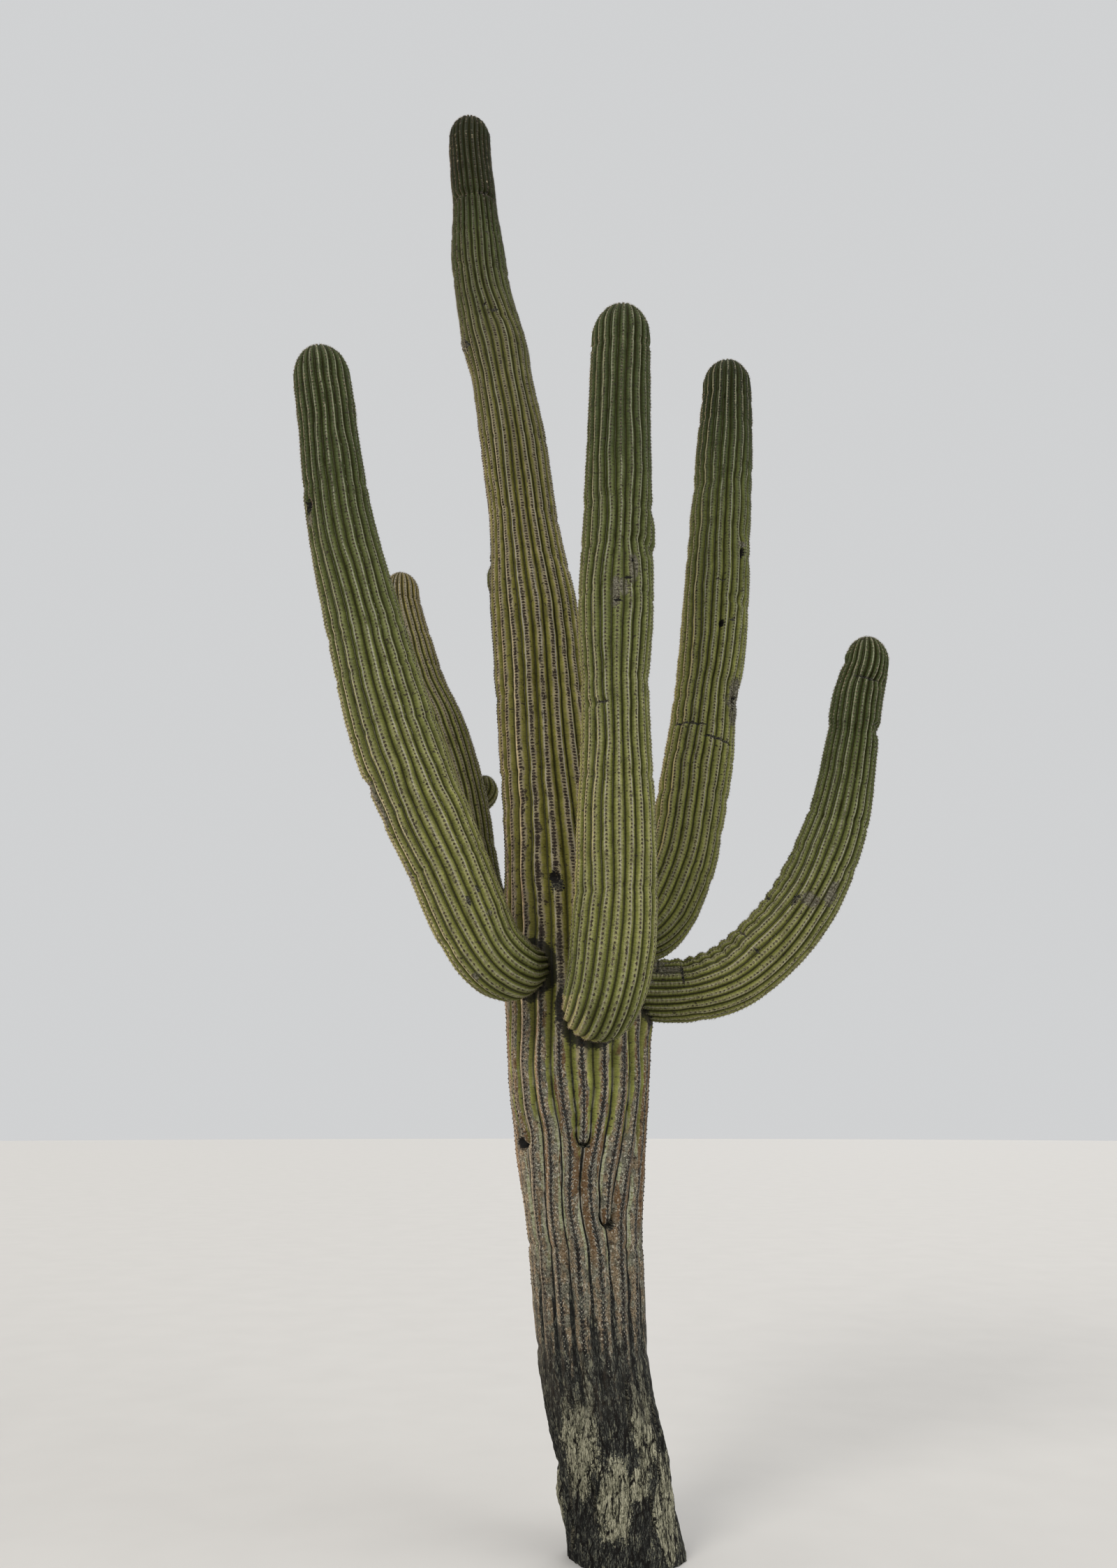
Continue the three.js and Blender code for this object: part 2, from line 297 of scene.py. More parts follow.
LEFT_MARKS = mark_list(
    crease=[(0.522, 341, 0.040, 0.014), (0.552, 0, 0.028, 0.012), (1.092, 251, 0.050, 0.060)],
    cork=[(0.444, 2, 0.030, 0.024), (0.300, 291, 0.022, 0.040), (2.200, 274, 0.066, 0.044),
          (1.000, 263, 0.200, 0.060), (0.708, 262, 0.130, 0.040)],
    hole=[(2.262, 276, 0.066, 0.056)],
    neck=[(1.110, 250, 0.060, 0.160)],
    stain=[(0.900, 306, 0.200, 0.050), (0.600, 320, 0.300, 0.060)],
)
RIGHT_MARKS = mark_list(
    neck=[(1.230, 126, 0.080, 0.300), (2.560, 125, 0.110, 0.500), (1.880, 190, 0.060, 0.300)],
    crease=[(1.205, 112, 0.014, 0.110), (1.198, 146, 0.012, 0.080), (1.140, 186, 0.014, 0.150),
            (1.962, 158, 0.012, 0.050), (1.760, 186, 0.014, 0.020)],
    cork=[(1.365, 217, 0.250, 0.078), (2.184, 198, 0.032, 0.036)],
    knob=[(1.375, 222, 0.260, 0.090), (2.184, 205, 0.120, 0.070)],
    hole=[(1.355, 214, 0.090, 0.034), (2.140, 201, 0.050, 0.020), (3.030, 147, 0.014, 0.016),
          (1.728, 165, 0.040, 0.022)],
    stain=[(1.050, 120, 0.420, 0.160), (0.700, 170, 0.300, 0.100)],
)
FAR_MARKS = mark_list(
    cork=[(0.130, 122, 0.150, 0.050), (0.190, 146, 0.120, 0.040), (0.090, 168, 0.110, 0.030),
          (0.900, 190, 0.060, 0.070), (0.960, 218, 0.120, 0.050)],
    crease=[(0.252, 150, 0.014, 0.120), (0.150, 130, 0.012, 0.080), (0.600, 128, 0.014, 0.060),
            (0.590, 176, 0.012, 0.030), (0.812, 110, 0.014, 0.060), (0.864, 168, 0.060, 0.020),
            (1.060, 100, 0.014, 0.050), (1.896, 193, 0.012, 0.160), (1.704, 247, 0.012, 0.080)],
    stain=[(0.860, 165, 0.240, 0.120)],
    neck=[(1.896, 200, 0.060, 0.260), (1.690, 250, 0.060, 0.200)],
)

# Each limb's stations, number of ribs, rib depth, seed of its random patterns, and marks.
TRUNK_SHAPE = (TRUNK, 24, 0.023, 10.0, TRUNK_MARKS)
TRUNK_FIRST_TURN = -0.008
ARMS = {
    "front_arm": (FRONT_ARM, 21, 0.0165, 20.0, FRONT_MARKS),
    "left_arm": (LEFT_ARM, 21, 0.0155, 30.0, LEFT_MARKS),
    "rear_arm": (REAR_ARM, 22, 0.013, 40.0),
    "right_arm": (RIGHT_ARM, 20, 0.018, 50.0, RIGHT_MARKS),
    "far_arm": (FAR_ARM, 22, 0.015, 60.0, FAR_MARKS),
}
BUDS = {"rear_arm_bud": (REAR_ARM_BUD, 12, 0.007, 70.0), "trunk_bud": (TRUNK_BUD, 11, 0.005, 80.0)}

# How a limb's skin is coloured: the tints of its flanks, crest bands and crest lines (a painted highlight),
# each at a share of its length, how strongly the line shows at the root and at the tip, how large each
# cushion's dark stain is as a share of half a rib, how tall it is for its width, how dark the painted shade
# makes the flanks near the furrows, and how far from the crest its line runs, also as a share of half a rib.
Look = namedtuple("Look", "flank band line low_line high_line stain stain_height shade line_offset")
# The arms: flanks and bands darker at the root than just above it, painted shade under the elbow.
ARM_LOOK = Look(
    [(0.02, MID_GREEN), (0.16, YELLOW_GREEN), (0.30, YELLOW_GREEN), (0.56, MID_GREEN), (0.80, UPPER_GREEN),
     (1.00, DIM_GREEN)],
    [(0.02, WAX_GREEN), (0.16, WAX_PALE), (0.32, WAX_PALE), (0.56, WAX_GREEN), (0.80, WAX_DIM),
     (1.00, WAX_DIM)],
    [(0.30, LINE_PALE), (0.70, LINE_GREEN)], 0.30, 1.0, 0.170, 0.90, 0.60, 0.24)
TRUNK_LOOK = Look(
    [(0.10, GREY_OLIVE), (0.20, BROWN_OLIVE), (0.26, LIME_GREEN), (0.35, BROWN_OLIVE), (0.64, BROWN_OLIVE),
     (0.80, OLIVE), (0.88, UPPER_GREEN), (0.95, DARK_GREEN)],
    [(0.62, WAX_PINK), (0.80, WAX_OLIVE), (0.88, WAX_DIM), (0.95, WAX_DARK)],
    [(0.64, LINE_PALE), (0.80, LINE_GREEN), (0.92, LINE_DARK)], 0.05, 0.8, 0.148, 0.54, 0.56, 0.36)
# The buds: paler towards the tip, as painted light.
BUD_LOOK = Look([(0.0, OLIVE), (1.0, YELLOW_GREEN)], [(0.0, WAX_GREEN), (1.0, WAX_PALE)],
                [(0.0, LINE_GREEN), (1.0, LINE_PALE)], 0.3, 0.3, 0.180, 0.9, 0.5, 0.24)
# The rear arm: olive tan, painted brighter and golden towards the tip as painted warm light.
REAR_WARM_LIT_LOOK = Look(
    [(0.10, LIME_GREEN), (0.60, LIME_GREEN), (1.00, WARM_LIT_OLIVE)],
    [(0.10, WAX_PALE), (0.60, WAX_PINK), (1.00, WAX_PINK)], [(0.30, LINE_PALE), (1.00, LINE_PALE)],
    0.7, 0.7, 0.150, 0.85, 0.40, 0.24)
# The right arm: the arms' look with brighter lower flanks, painted light against the shade on its lower part.
RIGHT_BRIGHTENED_LOOK = ARM_LOOK._replace(
    flank=[(0.02, YELLOW_GREEN), (0.10, LIME_GREEN), (0.34, LIME_GREEN), (0.54, YELLOW_GREEN),
           (0.72, MID_GREEN), (0.84, UPPER_GREEN), (0.93, DIM_GREEN)],
    band=[(0.02, WAX_GREEN), (0.16, WAX_PALE), (0.32, WAX_PALE), (0.56, WAX_GREEN), (0.78, WAX_DIM),
          (0.92, WAX_DARK)])


def noise(places, seed):
    """Smooth random values from -1 to 1, with swells about one unit across."""
    size = 32
    table = np.random.default_rng(seed).uniform(-1, 1, (size, size, size))
    cell = np.floor(places).astype(int)
    share = places - cell
    share = share * share * (3 - 2 * share)
    total = 0
    for corner in np.ndindex(2, 2, 2):
        weight = np.prod(np.where(corner, share, 1 - share), axis=-1)
        index = (cell + corner) % size
        total = total + weight * table[index[..., 0], index[..., 1], index[..., 2]]
    return total


def rough_noise(places, seed, levels=3):
    return sum(noise(places * 2**level, seed + level) / 2**level for level in range(levels))


def rise(low, high, value):
    """0 below low, 1 above high, and smooth between them."""
    share = np.clip((value - low) / (high - low), 0, 1)
    return share * share * (3 - 2 * share)


def hump(value, middle, reach):
    return np.exp(-(((value - middle) / reach) ** 2))


def dense_line(stations):
    """Rows of x, y, z and diameter on a smooth curve through the stations, and how far along each is."""
    rows = np.array(stations, float)
    rows = np.vstack([2 * rows[0] - rows[1], rows, 2 * rows[-1] - rows[-2]])
    share = np.linspace(0, 1, CURVE_STEPS, endpoint=False)[:, None]
    parts = []
    for r0, r1, r2, r3 in zip(rows, rows[1:], rows[2:], rows[3:]):
        d0, d1, d2 = (np.linalg.norm(b[:3] - a[:3]) ** 0.5 for a, b in ((r0, r1), (r1, r2), (r2, r3)))
        slope1 = ((r1 - r0) / d0 - (r2 - r0) / (d0 + d1) + (r2 - r1) / d1) * d1
        slope2 = ((r2 - r1) / d1 - (r3 - r1) / (d1 + d2) + (r3 - r2) / d2) * d1
        square = 3 * (r2 - r1) - 2 * slope1 - slope2
        cube = 2 * (r1 - r2) + slope1 + slope2
        parts.append(r1 + slope1 * share + square * share**2 + cube * share**3)
    line = np.vstack(parts + [rows[-2:-1]])
    steps = np.linalg.norm(np.diff(line[:, :3], axis=0), axis=1)
    return line, np.concatenate([[0], np.cumsum(steps)])


def unit(vectors):
    return vectors / np.linalg.norm(vectors, axis=-1, keepdims=True)


def read_rows(along, places, table):
    """The rows of a table at these distances, from the rows it has at its own places."""
    return np.stack([np.interp(along, places, column) for column in table.T], axis=-1)


def across(turns, side, front):
    """The directions out of a limb at these turns."""
    angle = 2 * math.pi * turns[:, None]
    return unit(np.cos(angle) * side + np.sin(angle) * front)


class Limb:
    """A limb's skin: places on it are given by the distance along it and the turn round it, from 0 to 1."""

    upright = False
    contact_length = 0.45
    areole_step = ARM_AREOLE_STEP
    fold = ARM_FOLD

    def __init__(self, stations, ribs, rib_depth, seed, marks=(), first_turn=0.0, new_ribs=None):
        self.line, self.line_along = dense_line(stations)
        self.length = self.line_along[-1]
        self.seed, self.ribs, self.rib_depth = seed, ribs, rib_depth
        self.girth = float(self.line[:, 3].mean() / 2)
        self.tip_radius = self.line[-1, 3] / 2
        self.dome = self.tip_radius * DOME_STRETCH
        self.marks = marks
        self.neighbours = []
        self.steps = np.arange(0, self.length + 2 * TABLE_STEP, TABLE_STEP)
        self.make_frames()
        self.make_ribs(first_turn, new_ribs or {})

    def beat_at(self, along):
        """How many cushions a rib has up to this distance."""
        return along / self.areole_step

    def cushions_at(self, beats):
        return beats * self.areole_step

    def line_at(self, along):
        return read_rows(along, self.line_along, self.line)

    def make_frames(self):
        """At each step: the centre, the radius, and two directions across the limb."""
        here = self.line_at(self.steps)
        reach = here[:, 3] / 2
        facing = (self.line_at(self.steps + reach) - self.line_at(self.steps - reach))[:, :3]
        if self.upright:
            facing[:] = (0, 0, 1)
        facing = unit(facing)
        side = np.array([0.0, 1.0, 0.0] if abs(facing[0][0]) > abs(facing[0][1]) else [1.0, 0.0, 0.0])
        sides = []
        for direction in facing:
            side = unit(side - direction * side.dot(direction))
            sides.append(side)
        fronts = np.cross(facing, sides)
        bends = np.gradient(facing, TABLE_STEP, axis=0)
        self.frames = np.hstack([here[:, :3], here[:, 3:] / 2, sides, fronts, bends])

    def make_ribs(self, first_turn, new_ribs):
        """The turns of crests and furrows at each step. A new rib starts round, between two others."""
        slots = np.ones((len(self.steps), self.ribs))
        self.opened = slots.copy()
        for new, start in new_ribs.items():
            slots[:, new] = 0.01 + 0.99 * rise(start - ROOM_BELOW, start + ROOM_ABOVE, self.steps)
            self.opened[:, new] = np.sqrt(1 - (1 - np.clip((self.steps - start) / RIB_OPENING, 0, 1)) ** 2)
        spots = np.broadcast_arrays(self.steps[:, None] / 0.4, np.arange(self.ribs) * 1.7, self.seed)
        slots *= 1 + RIB_VARIETY * noise(np.stack(spots, axis=-1), 11)
        slots /= slots.sum(axis=1, keepdims=True)
        ends = np.hstack([slots[:, :1] * 0, np.cumsum(slots, axis=1)])
        crests = (ends[:, 1:] + ends[:, :-1]) / 2
        for new in new_ribs:
            half = np.maximum(slots[:, new] / 2, END_WIDTH / self.ribs) * self.opened[:, new] + 0.0004
            ends[:, new], ends[:, new + 1] = crests[:, new] - half, crests[:, new] + half
        self.edges = ends + first_turn + self.wander(ends)
        self.crests = crests + first_turn + self.wander(crests)
        self.new_ribs = new_ribs

    def wander(self, turns):
        """How far ribs at these turns, one row for each step, swing aside."""
        total = 0
        for k, (distance, reach) in enumerate(RIB_WANDER):
            place = self.place_at(self.steps[:, None], turns) / (0.13, 0.13, reach)
            total = total + distance / (2 * math.pi * self.girth) * noise(place, 12 + k)
        return total + self.swing()[:, None]

    def swing(self):
        """How far all ribs together swing round the limb at each step."""
        return 0 * self.steps

    def end_distance(self, along, turns):
        """How far places lie from the round ends of new ribs."""
        away = np.full(len(along), 1.0)
        for new, start in self.new_ribs.items():
            crest = np.interp(along, self.steps, self.crests[:, new])
            aside = ((turns - crest + 0.5) % 1 - 0.5) / (END_WIDTH / self.ribs)
            up = (along - start) / RIB_OPENING - 1
            ring = np.abs(np.hypot(aside, up) - 1) * RIB_OPENING
            away = np.where(up < 0.1, np.minimum(away, ring), away)
        return away

    def twist(self, along):
        """How far the skin's grain has turned, in radians."""
        return 0 * along

    def place_at(self, along, turns):
        """The place on a plain cylinder that random patterns are read from."""
        along, turns = np.broadcast_arrays(along, turns)
        angle = 2 * math.pi * turns + self.twist(along)
        return np.stack([self.girth * np.cos(angle), self.girth * np.sin(angle), along], axis=-1) + self.seed

    def frame_at(self, along):
        return read_rows(along, self.steps, self.frames)

    def rib_rows(self, along):
        """The turns of furrows and of crests at these distances."""
        row = np.clip(along / TABLE_STEP, 0, len(self.steps) - 1.001)
        low = row.astype(int)
        share = (row - low)[:, None]
        return [table[low] * (1 - share) + table[low + 1] * share for table in (self.edges, self.crests)]

    def ribs_at(self, along, turns):
        """Each place's rib, the turn past its crest, that from crest to furrow, and the crest's own."""
        edges, crests = self.rib_rows(along)
        first = edges[:, :1]
        turns = (turns[:, None] - first) % 1 + first
        rib = (turns >= edges[:, 1:-1]).sum(axis=1)
        row = np.arange(len(rib))
        crest = crests[row, rib]
        past = turns[:, 0] - crest
        reach = np.where(past < 0, crest - edges[row, rib], edges[row, rib + 1] - crest)
        return rib, past, np.maximum(reach, 1e-5), crest

    def surface(self, along, turns):
        """The places on the skin, and a table of what its colours need to know there."""
        shape = np.broadcast(along, turns).shape
        along, turns = (np.broadcast_to(values, shape).ravel() for values in (along, turns))
        frames = self.frame_at(along)
        centre, radius, side, front, bend = np.split(frames, (3, 4, 7, 10), axis=1)
        radius = radius[:, 0]
        rib, past, reach, crest = self.ribs_at(along, turns)
        outward = across(turns, side, front)
        crest_outward = across(crest, side, front)
        opened = self.opened[np.clip((along / TABLE_STEP).astype(int), 0, len(self.steps) - 1), rib]
        place = self.place_at(along, turns)
        around = 2 * math.pi * radius
        ends = self.end_distance(along, turns)
        facts = {
            "place": place,
            "past_crest": past * around,
            "off_crest": np.abs(past) * around,
            "off_furrow": np.minimum((reach - np.abs(past)) * around, ends),
            "beat": self.beat_at(along) + rib * RIB_STAGGER % 1,
            "along": along, "turn": turns,
            # Which side of its crest the painted highlight line lies on, by the way the crest faces.
            "highlight_side": np.clip(-9 * crest_outward[:, 0] * crest_outward[:, 1], -1, 1),
            "inner": np.clip((bend * outward).sum(axis=1) * radius, 0, 1.5),
        }
        gap = np.full(len(along), 1.0)
        base = centre + radius[:, None] * outward
        for other in self.neighbours:
            gap = np.minimum(gap, other.gap_to(base))
        facts["gap"] = gap
        profile = 1 - np.abs(past / reach) ** RIB_ROUNDNESS
        depth = self.depth_at(along, place) * (1 + 0.16 * noise(place / 0.09, 21))
        depth = np.minimum(depth, 2 * math.pi * radius / self.ribs * 0.55)
        height = radius * (1 + 0.014 * noise(place / (0.16, 0.16, 0.26), 22)) - 0.002
        height -= depth * (1 - profile * opened) + 0.6 * depth * hump(ends, 0, 0.008)
        height += 0.0020 * noise(place / 0.045, 23) + self.folds(facts) - 0.005 * self.necks(along, place)
        height += self.mark_relief(facts) + self.relief(facts)
        passed = np.clip((along - (self.length - self.dome)) / self.dome, 0, 1)
        shrink = np.sqrt(1 - passed**2)
        points = centre + (height * shrink)[:, None] * outward
        points = points.reshape(shape + (3,))
        return points, {key: value.reshape(shape + value.shape[1:]) for key, value in facts.items()}

    def necks(self, along, place):
        """1 in the shallow rings, at uneven distances, where growth had stopped for a while."""
        wavy = (along + 0.03 * noise(place / 0.12, 25)) / 0.20
        swell = noise(np.stack([wavy, 0 * wavy, 0 * wavy + self.seed], axis=1), 26)
        return 1 - rise(0.0, 0.17, np.abs(swell))

    def depth_at(self, along, place):
        fade = 0.35 + 0.37 * rise(0, 0.25, along) + 0.28 * rise(0.30, 1.10, along)
        return self.rib_depth * fade

    def relief(self, facts):
        return 0.0

    def folds(self, facts):
        """Ripples across the ribs on the inner side of a bend."""
        low, high, spacing, height = self.fold
        squeeze = rise(low, high, facts["inner"])
        phase = math.pi * facts["along"] / spacing + 0.9 * noise(facts["place"] / 0.09, 24)
        return squeeze * height * (np.abs(np.sin(phase)) ** 0.8 - 0.75)

    def mark_relief(self, facts):
        """Scars: cork stands a little proud, holes and creases sink in."""
        height = 0.0
        for mark in self.marks:
            away_turn = (facts["turn"] - mark.turn / 360 + 0.5) % 1 - 0.5
            away_along = (facts["along"] - mark.along) / mark.length * 2
            away = np.hypot(away_along, away_turn * 2 * math.pi * self.girth / mark.width * 2)
            inside = 1 - rise(0.5, 1.2, away)
            height = height + inside * MARK_HEIGHT[mark.kind]
        return height

    def gap_to(self, places):
        """How far places lie outside this limb's first stretch."""
        near = self.line[self.line_along < self.contact_length][::6]
        away = np.linalg.norm(places[:, None] - near[None, :, :3], axis=2) - near[:, 3] / 2
        return away.min(axis=1)


class Trunk(Limb):
    """The trunk's ribs fade into cracked bark near the ground, and swell round the roots of the arms."""

    upright = True
    contact_length = 5.0
    areole_step = TRUNK_AREOLE_STEP
    low_count = LOW_AREOLES_END / LOW_AREOLE_STEP

    def beat_at(self, along):
        above = np.maximum(along - LOW_AREOLES_END, 0)
        return np.minimum(along, LOW_AREOLES_END) / LOW_AREOLE_STEP + above / TRUNK_AREOLE_STEP

    def cushions_at(self, beats):
        above = np.maximum(beats - self.low_count, 0)
        return np.minimum(beats, self.low_count) * LOW_AREOLE_STEP + above * TRUNK_AREOLE_STEP

    def depth_at(self, along, place):
        wavy = along + 0.12 * noise(place / 0.12, 31)
        shown = 0.05 + 0.95 * rise(0.40, 1.10, wavy)
        slim = 1 - 0.35 * rise(3.6, 5.2, along)
        return self.rib_depth * shown * slim

    def swing(self):
        return sum(distance * rise(low, high, self.steps) for distance, low, high in RIB_SWING)

    def twist(self, along):
        """The bark's grain leans near the ground."""
        below = np.clip(0.60 - along, 0, 0.60)
        return GRAIN_LEAN * below**2 / (below + 0.10)

    def relief(self, facts):
        place, along = facts["place"], facts["along"]
        bark = 1 - rise(BARK_FULL, BARK_NONE, along + 0.12 * noise(place / 0.10, 32))
        warp = np.stack([noise(place / 0.05, 33), noise(place / 0.05, 34), 0 * along], axis=1) * 0.006
        rolled = place + warp
        short_cracks = np.abs(noise(rolled / (0.012, 0.012, 0.060), 36))
        plates = rough_noise(rolled / (0.040, 0.040, 0.090), 37)
        flakes = rough_noise(rolled / (0.011, 0.011, 0.034), 39)
        facts["bark"] = bark
        facts["grain"] = flakes
        fissure = (1 - rise(0.0, 0.16, short_cracks)) * rise(-0.2, 0.3, flakes) * bark
        collar = 0.016 * hump(facts["gap"], 0.0, 0.06)
        flare = 0.012 * (1 - rise(0.0, 0.16, along))
        return collar + flare + bark * (0.0045 * plates + 0.0032 * flakes - 0.003 * fissure)


def grid_turns(limb, rows, columns, aligned):
    """The turns of each row's columns: in step with the ribs where aligned is 1, and even where it is 0."""
    edges, crests = limb.rib_rows(rows)
    spread = 2 * np.arange(columns) / columns - 1
    spread = np.sign(spread) * np.abs(spread) ** 0.75
    before, after = crests - edges[:, :-1], edges[:, 1:] - crests
    reach = np.where(spread < 0, before[..., None], after[..., None])
    in_step = (crests[..., None] + reach * spread).reshape(len(rows), -1)
    even = edges[:, :1] + np.arange(in_step.shape[1]) / in_step.shape[1]
    return even + (in_step - even) * aligned[:, None]


def mesh_piece(name, points, *face_groups):
    """An object from arrays: its places, and groups of faces that each have one number of corners."""
    mesh = bpy.data.meshes.new(name)
    corners = np.concatenate([faces.ravel() for faces in face_groups])
    sizes = np.concatenate([np.full(len(faces), faces.shape[1]) for faces in face_groups])
    mesh.vertices.add(len(points))
    mesh.vertices.foreach_set("co", np.asarray(points, np.float32).ravel())
    mesh.loops.add(len(corners))
    mesh.loops.foreach_set("vertex_index", corners.astype(np.int32))
    mesh.polygons.add(len(sizes))
    mesh.polygons.foreach_set("loop_start", (np.cumsum(sizes) - sizes).astype(np.int32))
    mesh.polygons.foreach_set("use_smooth", np.ones(len(sizes), dtype=bool))
    mesh.update(calc_edges=True)
    piece = bpy.data.objects.new(name, mesh)
    bpy.context.scene.collection.objects.link(piece)
    return piece


def skin_piece(name, limb, rows, turns, foot=True, tip=True):
    """The limb's skin as a mesh, closed at its foot and tip."""
    points, facts = limb.surface(rows[:, None], turns)
    count, columns = turns.shape
    index = np.arange(count * columns).reshape(count, columns)
    right = np.roll(index, -1, axis=1)
    quads = np.stack([index[:-1], right[:-1], right[1:], index[1:]], axis=-1).reshape(-1, 4)
    points = points.reshape(-1, 3)
    triangles = []
    ends = []
    if foot:
        triangles.append(np.stack([right[0], index[0], index[0] * 0 + len(points)], axis=1))
        ends.append((limb.line_at(rows[0])[:3], 0))
    if tip:
        triangles.append(np.stack([index[-1], right[-1], index[0] * 0 + len(points) + len(ends)], axis=1))
        ends.append((limb.line_at(limb.length)[:3], -1))
    points = np.vstack([points] + [end[0][None] for end in ends])
    piece = mesh_piece(name, points, quads, *triangles)
    for key, values in facts.items():
        if key in ("along", "turn", "inner"):
            continue
        values = values.reshape(count * columns, -1).astype(np.float32)
        values = np.vstack([values] + [values[end[1]][None] for end in ends])
        kind, field = ("FLOAT_VECTOR", "vector") if key == "place" else ("FLOAT", "value")
        piece.data.attributes.new(key, kind, "POINT").data.foreach_set(field, values.ravel())
    if foot:
        edges = np.empty(2 * len(piece.data.edges), np.int32)
        piece.data.edges.foreach_get("vertices", edges)
        piece.data.edges.foreach_set("use_edge_sharp", (edges.reshape(-1, 2) < columns).all(axis=1))
    return piece


def limb_rows(limb, step, low=0.0):
    """Even rows along the limb, then rows closing in over its domed tip."""
    body_end = limb.length - limb.dome
    body = np.linspace(low, body_end, 1 + round((body_end - low) / step))
    turns = np.linspace(0, math.pi / 2, DOME_ROWS + 1)[1:-1]
    return np.append(body, body_end + limb.dome * np.sin(turns))


def arm_piece(name, limb, step):
    rows = limb_rows(limb, step)
    turns = grid_turns(limb, rows, ARM_COLUMNS, np.ones(len(rows)))
    return skin_piece(name, limb, rows, turns)


def trunk_pieces(limb):
    """The upper skin, and the finer lower one with the bark; they share the row at the seam."""
    high_rows = limb_rows(limb, TRUNK_STEP, TRUNK_SEAM)
    high_turns = grid_turns(limb, high_rows, TRUNK_COLUMNS, np.ones(len(high_rows)))
    bark_rows = np.arange(0, BARK_NONE + 0.1, BARK_STEP)
    belt_rows = np.linspace(bark_rows[-1], TRUNK_SEAM, 1 + round((TRUNK_SEAM - bark_rows[-1]) / BELT_STEP))
    low_rows = np.append(bark_rows, belt_rows[1:])
    aligned = rise(BARK_NONE - 0.15, BARK_NONE + 0.10, low_rows)
    low_turns = grid_turns(limb, low_rows, TRUNK_COLUMNS, aligned)
    upper = skin_piece("trunk_upper_skin", limb, high_rows, high_turns, foot=False)
    lower = skin_piece("trunk_lower_skin", limb, low_rows, low_turns, tip=False)
    return upper, lower


class Value:
    """What a node gives out; plain sums with it make further nodes."""

    def __init__(self, paint, socket):
        self.paint, self.socket = paint, socket

    def __add__(self, other):
        return self.paint.math("ADD", self, other)

    def __sub__(self, other):
        return self.paint.math("SUBTRACT", self, other)

    def __rsub__(self, other):
        return self.paint.math("SUBTRACT", other, self)

    def __mul__(self, other):
        return self.paint.math("MULTIPLY", self, other)

    def __truediv__(self, other):
        return self.paint.math("DIVIDE", self, other)

    __radd__ = __add__
    __rmul__ = __mul__


